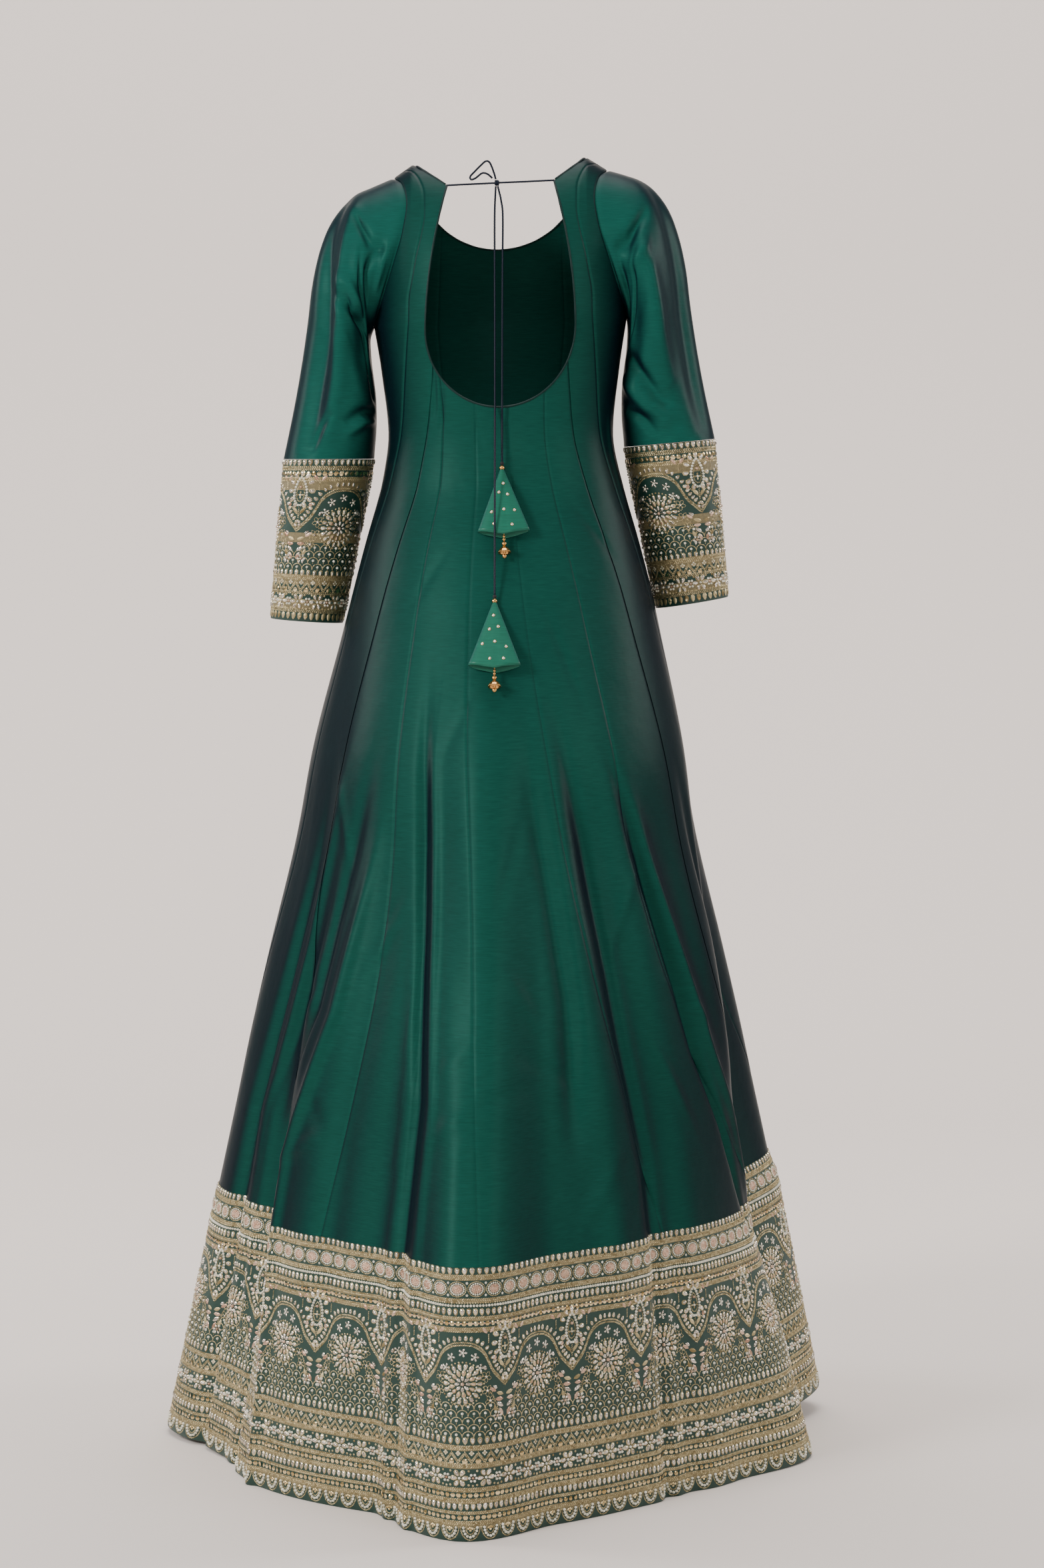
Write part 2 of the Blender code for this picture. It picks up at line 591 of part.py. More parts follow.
def turned(name, centres, radii, material, sides=10):
    """A solid of round sections about a line of centres, closed at both ends."""
    centres, radii = np.asarray(centres, float), np.asarray(radii, float)
    axis = centres[-1] - centres[0]
    axis /= np.linalg.norm(axis)
    across = np.cross(axis, [0.0, 1.0, 0.0])
    across /= np.linalg.norm(across)
    forward = np.cross(axis, across)
    turn = np.linspace(0, 2 * math.pi, sides, endpoint=False)
    ring = np.outer(np.cos(turn), across) + np.outer(np.sin(turn), forward)
    vertices = (centres[:, None] + radii[:, None, None] * ring[None]).reshape(-1, 3)
    faces = []
    for r in range(len(radii) - 1):
        for s in range(sides):
            a, b = r * sides + s, r * sides + (s + 1) % sides
            faces.append((a, b, b + sides, a + sides))
    faces.append(tuple(range(sides)))
    faces.append(tuple(range((len(radii) - 1) * sides, len(radii) * sides)))
    return solid(name, vertices, faces, material)


def bead(name, centre, size, material):
    turn = np.linspace(-BEAD_END, BEAD_END, 7)
    centres = [np.asarray(centre) + np.array([0, 0, -size * math.sin(t)]) for t in turn]
    return turned(name, centres, size * np.cos(turn), material)


def finish(name, colour, roughness, metallic=0.0):
    material = bpy.data.materials.new(name)
    material.use_nodes = True
    shader = material.node_tree.nodes["Principled BSDF"]
    shader.inputs["Base Color"].default_value = (*colour, 1.0)
    shader.inputs["Roughness"].default_value = roughness
    shader.inputs["Metallic"].default_value = metallic
    return material


def upper_edges():
    """The edges that cross one side of the upper bodice: angles by the chest, then points up to the ridge."""
    seam_x = column(SHOULDER, "seam_x")
    edge_height = column(SHOULDER, "edge")
    front_x, front_height = front_edge()
    chest_angle = SEAMS[5]["chest"]
    seam_angle_above = angle_at(seam_x[0], ARMPIT_HEIGHT, -1)
    return {
        "cut-out": {
            "angles": [angle_at(float(cutout_half_width(level)), level, -1) for level in CHEST_LEVELS],
            "x": back_edge_x(edge_height),
            "height": edge_height,
            "gap": 0.0,
        },
        "back seam": {
            "angles": [(chest_angle + seam_angle_above) / 2, seam_angle_above],
            "x": seam_x,
            "height": column(SHOULDER, "seam"),
            "gap": SEAM_GAP / 2,
        },
        "armhole": {
            "angles": [90.0, 90.0],
            "x": column(SHOULDER, "armhole_x"),
            "height": column(SHOULDER, "armhole"),
            "gap": 0.0,
        },
        "front seam": {
            "angles": [SEAMS[7]["chest"]] * 2,
            "x": front_x,
            "height": front_height,
            "gap": SEAM_GAP / 2,
        },
    }


def upper_rows(panel, edges, hand):
    """A side panel's rows above the chest's level, in order round the gown. hand is 1 on the wearer's right."""
    first, last = edges[panel["first"]], edges[panel["last"]]
    side, columns = panel["side"], panel["columns"]
    rows = []
    for height, start, end in zip(CHEST_LEVELS, first["angles"], last["angles"]):
        angle = np.linspace(start, end, columns + 1)
        rows.append(panel_row(angle if hand > 0 else (360 - angle)[::-1], height))
    upper = shoulder_rows(
        (first["x"] - side * first["gap"])[1:],
        first["height"][1:],
        (last["x"] + side * last["gap"])[1:],
        last["height"][1:],
        columns,
        side,
        hand,
    )
    return np.concatenate([rows, upper if hand > 0 else upper[:, ::-1]])


def front_centre_rows(columns):
    """The centre front panel's rows from the chest's level up to the round neckline."""
    angle = np.linspace(SEAMS[7]["chest"], SEAMS[8]["chest"], columns + 1)
    rows = [panel_row(angle, height) for height in CHEST_LEVELS]
    edge_x, _ = front_edge()
    across = np.linspace(1, -1, columns + 1)
    top = neckline_height(across * FRONT_SEAM_NECK_X)
    for row in range(1, NECKLINE_ROW + 1):
        height = ARMPIT_HEIGHT + (top - ARMPIT_HEIGHT) * row / NECKLINE_ROW
        rows.append(shoulder_point(across * (edge_x[row] - SEAM_GAP / 2), height, 1))
    return np.array(rows)


def level_top(angle):
    return np.full(np.shape(angle), CHEST_HEIGHT)


def make_panels(silk, border_silk):
    """The twelve panels and the border under each, and the outer points of every panel by its name."""
    edges = upper_edges()
    rows_of, index_of = {}, {}
    for panel in SIDE_PANELS:
        for hand, suffix in ((1, "right"), (-1, "left")):
            name, index = f"{panel['panel']}_{suffix}", panel[suffix]
            low = lower_rows(index, panel["columns"], level_top)
            rows_of[name] = np.concatenate([low, upper_rows(panel, edges, hand)])
            index_of[name] = index
    low = lower_rows(FRONT_CENTRE, WIDE_COLUMNS, level_top)
    rows_of["front_panel_centre"] = np.concatenate([low, front_centre_rows(WIDE_COLUMNS)])
    index_of["front_panel_centre"] = FRONT_CENTRE
    for number in BACK_PANELS:
        name, index = f"back_panel_{number}", FIRST_BACK + number - 1
        rows_of[name] = lower_rows(index, WIDE_COLUMNS, cutout_height)
        index_of[name] = index
    for name, rows in rows_of.items():
        below = border_rows(index_of[name], rows.shape[1] - 1, level_top)
        body_wall(name, rows, silk)
        body_wall(name.replace("panel", "border"), below, border_silk)
    return rows_of


def sleeve_ring(row, turn, hand, ring_number):
    outer = np.array([row["outer_x"], row["outer"]])
    inner = np.array([row["inner_x"], row["inner"]])
    centre, half = (outer + inner) / 2, (outer - inner) / 2
    reach = np.linalg.norm(half)
    stand = np.zeros(turn.shape)
    for fold in SLEEVE_FOLDS:
        away = (np.degrees(turn) - fold["angle"] + 180) % 360 - 180
        middle, span = (fold["start"] + fold["end"]) / 2, (fold["end"] - fold["start"]) / 2
        along = max(0.0, 1 - ((ring_number - middle) / span) ** 2)
        stand += fold["depth"] * along * np.exp(-((away / fold["half"]) ** 2))
    out = 1 + stand / reach
    x = centre[0] + half[0] * np.cos(turn) * out
    z = centre[1] + half[1] * np.cos(turn) * out
    y = row["y"] - (row["depth"] + stand) * np.sin(turn)
    return np.stack([hand * x, y, z], axis=-1)


def grid_normals(points, hand):
    """Outward normals of a tube's grid, whose rows run round it."""
    along = np.gradient(points, axis=0)
    around = (np.roll(points, -1, axis=1) - np.roll(points, 1, axis=1)) / 2
    normal = np.cross(along, around) * hand
    return normal / np.linalg.norm(normal, axis=-1, keepdims=True)


def armhole_loop(hand):
    """The armhole's corners from the armpit up the back to the ridge and down the front."""
    x, height = column(SHOULDER, "armhole_x"), column(SHOULDER, "armhole")
    back = shoulder_point(hand * x, height, -1)
    front = shoulder_point(hand * x, height, 1)[::-1]
    back[-1, 1] = 0.0
    back[0, 1] = 0.0
    loop = worn(np.concatenate([back, front[1:-1]]))
    loop[:, 0] += hand * ARMHOLE_GAP
    between = (loop + np.roll(loop, -1, axis=0)) / 2
    return np.stack([loop, between], axis=1).reshape(-1, 3)


def make_sleeve(hand, suffix, silk, cuff_silk):
    first = armhole_loop(hand)
    count = len(first)
    turn = math.pi - np.arange(count) * 2 * math.pi / count
    rings = [tilted(sleeve_ring(row, turn, hand, i + 1)) for i, row in enumerate(SLEEVE)]
    points = np.array([first] + rings)
    wall("sleeve_" + suffix, points, grid_normals(points, hand), silk, closed=True)
    points = np.array([tilted(sleeve_ring(row, turn, hand, len(SLEEVE) + 1)) for row in CUFF])
    wall("cuff_" + suffix, points, grid_normals(points, hand), cuff_silk, closed=True)


def beside(edge, centre, spare):
    """A line that runs beside an edge of the bodice, a small distance into the opening round a centre."""
    along = np.gradient(edge, axis=0)
    normal = outward(edge)
    across = np.cross(along, normal)
    across /= np.linalg.norm(across, axis=-1, keepdims=True)
    across *= np.sign((across * (np.array(centre) - edge)).sum(axis=-1, keepdims=True))
    return worn(edge + across * spare - WALL / 2 * normal)


def make_piping(rows_of, piping_silk):
    """The piping round the cut-out, and the one over the shoulders and round the front of the neck."""
    first_row = len(LOWER_ROWS)
    armpit_row = first_row + len(CHEST_LEVELS) - 1
    corner = armpit_row + TIE_CORNER_ROW
    left = rows_of["back_shoulder_panel_left"][:, -1]
    right = rows_of["back_shoulder_panel_right"][:, 0]
    bottom = [rows_of[f"back_panel_{number}"][-1, 1:-1] for number in BACK_PANELS]
    cutout = np.concatenate([left[first_row : corner + 1][::-1], *bottom, right[first_row : corner + 1]])
    spare = PIPING_RADIUS + SEAM_GAP
    line = beside(cutout, CUTOUT_CENTRE, spare)
    cord("cutout_piping", line, PIPING_RADIUS, piping_silk, resolution=1)

    neck = armpit_row + NECKLINE_ROW
    front = np.concatenate(
        [
            rows_of["front_panel_right"][neck + 1 :, -1][::-1],
            rows_of["front_panel_centre"][-1, 1:-1],
            rows_of["front_panel_left"][neck + 1 :, 0],
        ]
    )
    starts = [edge[corner] + (edge[corner + 1] - edge[corner]) * NECK_PIPING_START for edge in (right, left)]
    neckline = np.concatenate(
        [starts[:1], right[corner + 1 : -1], front, left[corner + 1 : -1][::-1], starts[1:]]
    )
    line = beside(neckline, NECK_CENTRE, spare)
    cord("neck_piping", line, PIPING_RADIUS, piping_silk, resolution=1)


def surface_of(grids):
    """The facets between the points of some grids as one tree, so that what hangs over them can be laid on it."""
    vertices, faces = [], []
    for grid in grids:
        count = grid.shape[1]
        start = len(vertices)
        vertices += [tuple(map(float, p)) for p in grid.reshape(-1, 3)]
        for r in range(grid.shape[0] - 1):
            for c in range(count - 1):
                a = start + r * count + c
                faces += [(a, a + 1, a + count + 1), (a, a + count + 1, a + count)]
    return BVHTree.FromPolygons(vertices, faces)


def surface_y(surface, x, height):
    hit = surface.ray_cast((float(x), -2.0, float(height)), (0.0, 1.0, 0.0))[0]
    return None if hit is None else hit[1]


def through(points, step):
    """Points along a smooth curve through the given points, about one step apart."""
    points = np.asarray(points, float)
    padded = np.concatenate([2 * points[:1] - points[1:2], points, 2 * points[-1:] - points[-2:-1]])
    fine = []
    for i in range(len(points) - 1):
        p0, p1, p2, p3 = padded[i : i + 4]
        for t in np.linspace(0, 1, 24, endpoint=False):
            fine.append(
                0.5
                * (
                    2 * p1
                    + (p2 - p0) * t
                    + (2 * p0 - 5 * p1 + 4 * p2 - p3) * t * t
                    + (3 * p1 - p0 - 3 * p2 + p3) * t**3
                )
            )
    fine = np.array(fine + [points[-1]])
    length = np.concatenate([[0], np.cumsum(np.linalg.norm(np.diff(fine, axis=0), axis=1))])
    places = np.linspace(0, length[-1], max(int(round(length[-1] / step)), 2) + 1)
    return np.stack([np.interp(places, length, fine[:, axis]) for axis in range(3)], axis=-1)


def hanging_line(surface, x, top, end):
    """A taut line down the back at one X, from a height to an end point, that bridges the hollows under it."""
    heights = np.linspace(top, end[2], int(math.ceil((top - end[2]) / HANG_STEP)) + 1)
    sides = (-TIE_RADIUS, 0.0, TIE_RADIUS)
    over = [min(surface_y(surface, x + side, height) for side in sides) - CORD_LIFT for height in heights]
    over[-1] = min(over[-1], end[1])
    kept = []
    for height, out in zip(heights, over):
        while len(kept) > 1:
            (height1, out1), (height2, out2) = kept[-2:]
            if out2 < out1 + (out - out1) * (height1 - height2) / (height1 - height):
                break
            kept.pop()
        kept.append((height, out))
    kept = np.array(kept)
    heights = np.linspace(top, end[2], int(math.ceil((top - end[2]) / CORD_STEP)) + 1)
    over = np.interp(-heights, -kept[:, 0], kept[:, 1])
    return np.stack([np.full(len(heights), x), over, heights], axis=-1)


def make_tie(cord_silk):
    """The taut cord between the cut-out's corners with its knot and small loop. Returns the knot's centre."""
    corner_x = TIE_CORNER_X - 2 * (PIPING_RADIUS + SEAM_GAP)
    shift = BODICE[-1]["shift"]
    y = float(shoulder_point(TIE_CORNER_X, TIE_CORNER_HEIGHT, -1)[1])
    knot = np.array([KNOT_X, y, TIE_CORNER_HEIGHT + TILT * KNOT_X])
    reach = KNOT_RADIUS + SEAM_GAP
    for suffix, hand in (("left", -1), ("right", 1)):
        far = np.array([shift + hand * corner_x, y, TIE_CORNER_HEIGHT + TILT * hand * corner_x])
        near = knot + np.array([hand * reach, 0, TILT * hand * reach])
        cord("tie_cord_" + suffix, np.linspace(far, near, 8), TIE_RADIUS, cord_silk)
    bead("tie_knot", knot, KNOT_RADIUS, cord_silk)
    loop = [knot + np.array(step) for step in TIE_LOOP]
    cord("tie_loop", through(loop, TIE_STEP), TIE_RADIUS, cord_silk)
    return knot


def make_tie_end(latkan, knot, end, surface, cord_silk):
    """A hanging end, from under the knot over the cut-out's edge and down the back to its latkan's knot."""
    start = knot + np.array([latkan["spread"] * 0.25, -0.0004, -KNOT_RADIUS - SEAM_GAP])
    down = hanging_line(surface, latkan["x"], UNDER_EDGE, end)
    edge = down[0] + np.array([0.0, -OVER_PIPING, OVER_EDGE - UNDER_EDGE])
    share = np.array([0.12, 0.35, 0.65])[:, None]
    middle = start + (edge - start) * share
    middle[:, 0] = latkan["spread"] + (latkan["x"] - latkan["spread"]) * share[:, 0]
    route = np.concatenate([[start], middle, [edge], down])
    cord("tie_end_" + latkan["latkan"], through(route, CORD_STEP), TIE_RADIUS, cord_silk)


def make_latkan(latkan, surface, knot_material, gold, cone_silk):
    """A knot, a bead, a cloth cone and a charm, laid against the back. Returns the cord's end and the cone's rings."""
    name = "latkan_" + latkan["latkan"]
    apex = np.array([latkan["x"], 0.0, latkan["apex"]])
    rim = np.array([latkan["rim_x"], 0.0, latkan["rim"]])
    apex[1] = surface_y(surface, apex[0], apex[2]) - CORD_LIFT - 0.001
    rim[1] = surface_y(surface, rim[0], rim[2]) - CONE_HALF_DEPTH - 0.001
    axis = (rim - apex) / np.linalg.norm(rim - apex)
    across = np.cross(axis, [0.0, 1.0, 0.0])
    across /= np.linalg.norm(across)
    if across[0] < 0:
        across = -across
    forward = np.cross(across, axis)
    if forward[1] > 0:
        forward = -forward
    turn = np.arange(CONE_SIDES) * 2 * math.pi / CONE_SIDES
    rings = []
    for share in np.linspace(0, 1, 5):
        wide = CONE_TOP + (CONE_HALF_WIDTH - CONE_TOP) * share
        deep = CONE_TOP + (CONE_HALF_DEPTH - CONE_TOP) * share
        bow = CONE_BOW * share * (1 - np.abs(np.cos(turn)))
        centre = apex + (rim - apex) * share
        ring = np.outer(np.cos(turn) * wide, across) + np.outer(np.sin(turn) * deep, forward)
        rings.append(centre + ring + np.outer(bow, axis))
    rings = np.array(rings)
    centres = np.array([rim + axis * row["below"] for row in CHARM])
    centres[0] = apex + axis * (BEAD_RADIUS - BEAD_SEAT + SEAM_GAP)
    reach = np.stack([np.zeros(len(CHARM)), column(CHARM, "radius"), np.zeros(len(CHARM))], axis=-1)
    seat = apex - axis * BEAD_SEAT + np.array([0.0, BEAD_RADIUS, 0.0])
    lift = max(
        point[1] + CLEAR - surface_y(surface, point[0], point[2])
        for point in np.concatenate([rings.reshape(-1, 3), centres + reach, [seat]])
    )
    move = np.array([0.0, -max(lift, 0.0), 0.0])
    rings, centres, apex = rings + move, centres + move, apex + move
    wall(name + "_cone", rings, cone_normals(rings), cone_silk, thickness=CONE_WALL, closed=True)
    turned(name + "_charm", centres, column(CHARM, "radius"), gold)
    place = apex - axis * BEAD_SEAT
    bead(name + "_bead", place, BEAD_RADIUS, gold)
    place = place + np.array([0.0, 0.0, (BEAD_RADIUS + KNOT_SMALL) * math.sin(BEAD_END) + SEAM_GAP])
    bead(name + "_knot", place, KNOT_SMALL, knot_material)
    cord_end = place + np.array([0.0, 0.0, KNOT_SMALL * math.sin(BEAD_END) + SEAM_GAP])
    return cord_end, np.concatenate([rings, rings[:, :1]], axis=1)


def cone_normals(rings):
    along = np.gradient(rings, axis=0)
    around = np.roll(rings, -1, axis=1) - np.roll(rings, 1, axis=1)
    normal = np.cross(along, around)
    normal /= np.linalg.norm(normal, axis=-1, keepdims=True)
    away = rings - rings.mean(axis=1, keepdims=True)
    return normal * np.sign((normal * away).sum(axis=-1, keepdims=True))


for old in list(bpy.data.objects):
    bpy.data.objects.remove(old, do_unlink=True)

floor_frame = bpy.data.objects.new("gown_on_floor", None)
floor_frame.location = (0.0, 0.0, -SHOULDER_HEIGHT)
bpy.context.scene.collection.objects.link(floor_frame)

emerald_silk = finish("emerald_shot_silk", (0.013, 0.113, 0.083), 0.42)
border_work = finish("embroidered_border", (0.060, 0.120, 0.090), 0.55)

panel_rows = make_panels(emerald_silk, border_work)
for hand, suffix in ((1, "right"), (-1, "left")):
    make_sleeve(hand, suffix, emerald_silk, border_work)

piping_silk = finish("dark_piping", (0.006, 0.028, 0.030), 0.5)
cord_silk = finish("navy_tie_cord", (0.011, 0.023, 0.069), 0.45)
latkan_silk = finish("bright_green_silk", (0.012, 0.171, 0.125), 0.45)
gold_metal = finish("antique_gold", (0.571, 0.319, 0.093), 0.35, 1.0)
black_thread = finish("black_thread", (0.010, 0.010, 0.012), 0.7)

make_piping(panel_rows, piping_silk)
tie_knot = make_tie(cord_silk)
under_cords = [worn(panel_rows[f"back_panel_{number}"]) for number in BACK_PANELS]
back = surface_of(under_cords)
for row in LATKANS:
    cord_end, cone_rings = make_latkan(row, back, black_thread, gold_metal, latkan_silk)
    make_tie_end(row, tie_knot, cord_end, surface_of(under_cords), cord_silk)
    under_cords.append(cone_rings)
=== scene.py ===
import math

import bpy
import numpy as np
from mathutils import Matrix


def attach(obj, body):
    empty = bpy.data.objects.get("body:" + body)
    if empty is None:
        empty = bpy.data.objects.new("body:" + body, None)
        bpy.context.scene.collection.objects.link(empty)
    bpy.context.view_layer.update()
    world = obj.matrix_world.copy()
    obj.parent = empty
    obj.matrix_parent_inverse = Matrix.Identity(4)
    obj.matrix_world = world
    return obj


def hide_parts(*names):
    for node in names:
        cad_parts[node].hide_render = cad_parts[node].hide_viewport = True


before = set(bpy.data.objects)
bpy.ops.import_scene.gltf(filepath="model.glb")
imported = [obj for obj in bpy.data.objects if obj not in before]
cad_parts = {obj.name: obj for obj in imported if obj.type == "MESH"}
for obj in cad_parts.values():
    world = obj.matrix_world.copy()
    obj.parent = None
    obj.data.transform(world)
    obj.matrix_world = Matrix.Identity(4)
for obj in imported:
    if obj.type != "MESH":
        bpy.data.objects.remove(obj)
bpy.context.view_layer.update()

# The camera. It stands 4.5 m behind the gown at chest height with a long lens, and looks a little down,
# so that the whole length shows with almost no distortion.
camera = bpy.data.objects.new("camera", bpy.data.cameras.new("camera"))
camera.data.sensor_fit = "VERTICAL"
camera.data.sensor_height = 36.0
camera.data.lens = 89.55
camera.data.clip_end = 40.0
camera.location = (0.0264, -4.5, -0.355)
camera.rotation_euler = (math.radians(90 - 4.56), 0.0, 0.0)
bpy.context.scene.collection.objects.link(camera)
bpy.context.scene.camera = camera


# The studio. A matt paper sweep, pale and slightly warm, runs from under the hem up behind the gown in one
# curve. Paper is unglazed, so it only shows broad soft shadows.
FLOOR_HEIGHT = -1.4825
SWEEP_FRONT = -6.0
SWEEP_START = 2.2
SWEEP_RADIUS = 1.6
SWEEP_TOP = 6.0
FLOOR_HALF_WIDTH = 7.0
ROLL_HALF_WIDTH = 1.78


def linear(hex_colour):
    """A colour written as sRGB hex, as the linear colour that a shader takes."""
    parts = [int(hex_colour[i : i + 2], 16) / 255 for i in (1, 3, 5)]
    return tuple(p / 12.92 if p <= 0.04045 else ((p + 0.055) / 1.055) ** 2.4 for p in parts) + (1.0,)


def node(material, kind, settings, links):
    """Adds a node to a material: its settings are attributes or input values, and its links are its inputs."""
    tree = material.node_tree
    made = tree.nodes.new(kind)
    for name, value in settings.items():
        if isinstance(name, int) or name in made.inputs:
            made.inputs[name].default_value = value
        else:
            setattr(made, name, value)
    for name, source in links.items():
        tree.links.new(source, made.inputs[name])
    return made


def shader_of(name):
    """A new material and its own Principled shader."""
    material = bpy.data.materials.new(name)
    material.use_nodes = True
    return material, material.node_tree.nodes["Principled BSDF"]


def add_mesh(name, vertices, faces, materials):
    """A smooth-shaded mesh object in the gown's frame."""
    mesh = bpy.data.meshes.new(name)
    mesh.from_pydata(np.asarray(vertices, float).tolist(), [], faces)
    for material in materials:
        mesh.materials.append(material)
    mesh.shade_smooth()
    made = bpy.data.objects.new(name, mesh)
    bpy.context.scene.collection.objects.link(made)
    return made


def grid_faces(rows, columns, closed=False):
    """The quads between the points of a grid, whose columns may close into a tube."""
    faces = []
    for r in range(rows - 1):
        for c in range(columns if closed else columns - 1):
            a, b = r * columns + c, r * columns + (c + 1) % columns
            faces.append((a, b, b + columns, a + columns))
    return faces


paper, paper_shader = shader_of("seamless_studio_paper")
paper_shader.inputs["Roughness"].default_value = 0.95
paper_grain = node(paper, "ShaderNodeTexNoise", {"Scale": 1.3, "Detail": 2.0}, {})
paper_tone = node(
    paper,
    "ShaderNodeMix",
    {"data_type": "RGBA", 6: linear("#DED5D0"), 7: linear("#E4DBD5")},
    {0: paper_grain.outputs[0]},
)
paper.node_tree.links.new(paper_tone.outputs[2], paper_shader.inputs["Base Color"])

bend = np.radians(np.linspace(0, 90, 25))
sweep_y = np.concatenate([[SWEEP_FRONT], SWEEP_START + SWEEP_RADIUS * np.sin(bend), [SWEEP_START + SWEEP_RADIUS]])
sweep_z = FLOOR_HEIGHT + np.concatenate([[0.0], SWEEP_RADIUS * (1 - np.cos(bend)), [SWEEP_TOP]])
sweep_half = [FLOOR_HALF_WIDTH] + [ROLL_HALF_WIDTH] * (len(sweep_y) - 1)
sweep_points = [(side * half, y, z) for half, y, z in zip(sweep_half, sweep_y, sweep_z) for side in (-1, 1)]
sweep = add_mesh("studio_sweep", sweep_points, grid_faces(len(sweep_y), 2), [paper])

# The studio's lights: a soft key light on the left, a weak one in front and another on the right, a broad one
# above, two that light the paper, and the room's own even light.
SOFT_LIGHTS = [
    {"name": "left_softbox", "place": (-3.2, -3.0, 1.2), "aim": (0.0, 0.0, -0.6), "size": 1.3, "watts": 150},
    {"name": "front_softbox", "place": (0.3, -5.0, 0.6), "aim": (0.0, 0.0, -0.6), "size": 1.6, "watts": 34},
    {"name": "right_softbox", "place": (3.4, -2.4, 0.7), "aim": (0.0, 0.0, -0.7), "size": 1.5, "watts": 26},
    {"name": "top_softbox", "place": (0.0, 0.9, 3.6), "aim": (0.0, 1.4, -1.4), "size": 3.8, "watts": 225},
    {"name": "left_backdrop_light", "place": (-3.2, 0.8, 0.6), "aim": (0.3, 3.0, -0.9), "size": 1.6, "watts": 62},
    {"name": "right_backdrop_light", "place": (3.2, 0.8, 0.6), "aim": (-0.3, 3.0, -0.9), "size": 1.6, "watts": 62},
]
for row in SOFT_LIGHTS:
    lamp = bpy.data.lights.new(row["name"], "AREA")
    lamp.shape = "DISK"
    lamp.size = row["size"]
    lamp.energy = row["watts"]
    lamp.color = (1.0, 0.975, 0.95)
    light = bpy.data.objects.new(row["name"], lamp)
    light.location = row["place"]
    away = np.array(row["aim"]) - np.array(row["place"])
    light.rotation_euler = (
        math.acos(-away[2] / np.linalg.norm(away)),
        0.0,
        math.atan2(-away[0], away[1]),
    )
    bpy.context.scene.collection.objects.link(light)
room = bpy.data.worlds.new("room")
room.use_nodes = True
room.node_tree.nodes["Background"].inputs["Color"].default_value = linear("#F4F0EB")
room.node_tree.nodes["Background"].inputs["Strength"].default_value = 0.36
bpy.context.scene.world = room


# The twelve silk kalis. Each is a long flared panel of emerald shot silk, cut in one from the shoulder or the
# cut-out's edge down to the border, and sewn to the next with a plain pressed seam. The tables give the worn
# body in metres above the floor, and angles are from the centre back towards the wearer's right.
SHOULDER_HEIGHT = 1.482
BORDER_HEIGHT = 0.290
WAIST_HEIGHT = 1.110
CHEST_HEIGHT = 1.250
ARMPIT_HEIGHT = 1.300
SHOULDER_RISE = SHOULDER_HEIGHT - ARMPIT_HEIGHT
SECTION_POWER = 2.1
SEAM_GAP = 0.0003
WAIST_EASE = 0.045
WAIST_STEP = 0.020

BODICE = [
    {"height": 1.110, "half_width": 0.1390, "back": 0.108, "front": 0.100, "shift": 0.004},
    {"height": 1.170, "half_width": 0.1290, "back": 0.102, "front": 0.100, "shift": 0.002},
    {"height": 1.245, "half_width": 0.1365, "back": 0.109, "front": 0.120, "shift": 0.002},
    {"height": 1.300, "half_width": 0.1450, "back": 0.115, "front": 0.128, "shift": 0.002},
]
SKIRT_HALF_WIDTH = 0.325
SKIRT_BACK = 0.380
SKIRT_FRONT = 0.345
FLARE = [
    {"height": 0.29, "share": 1.000},
    {"height": 0.39, "share": 0.893},
    {"height": 0.475, "share": 0.805},
    {"height": 0.57, "share": 0.695},
    {"height": 0.708, "share": 0.524},
    {"height": 0.809, "share": 0.428},
    {"height": 0.944, "share": 0.243},
    {"height": 1.047, "share": 0.100},
    {"height": 1.110, "share": 0.000},
]
FOLDS_START = 1.00
FOLDS_POWER = 1.25
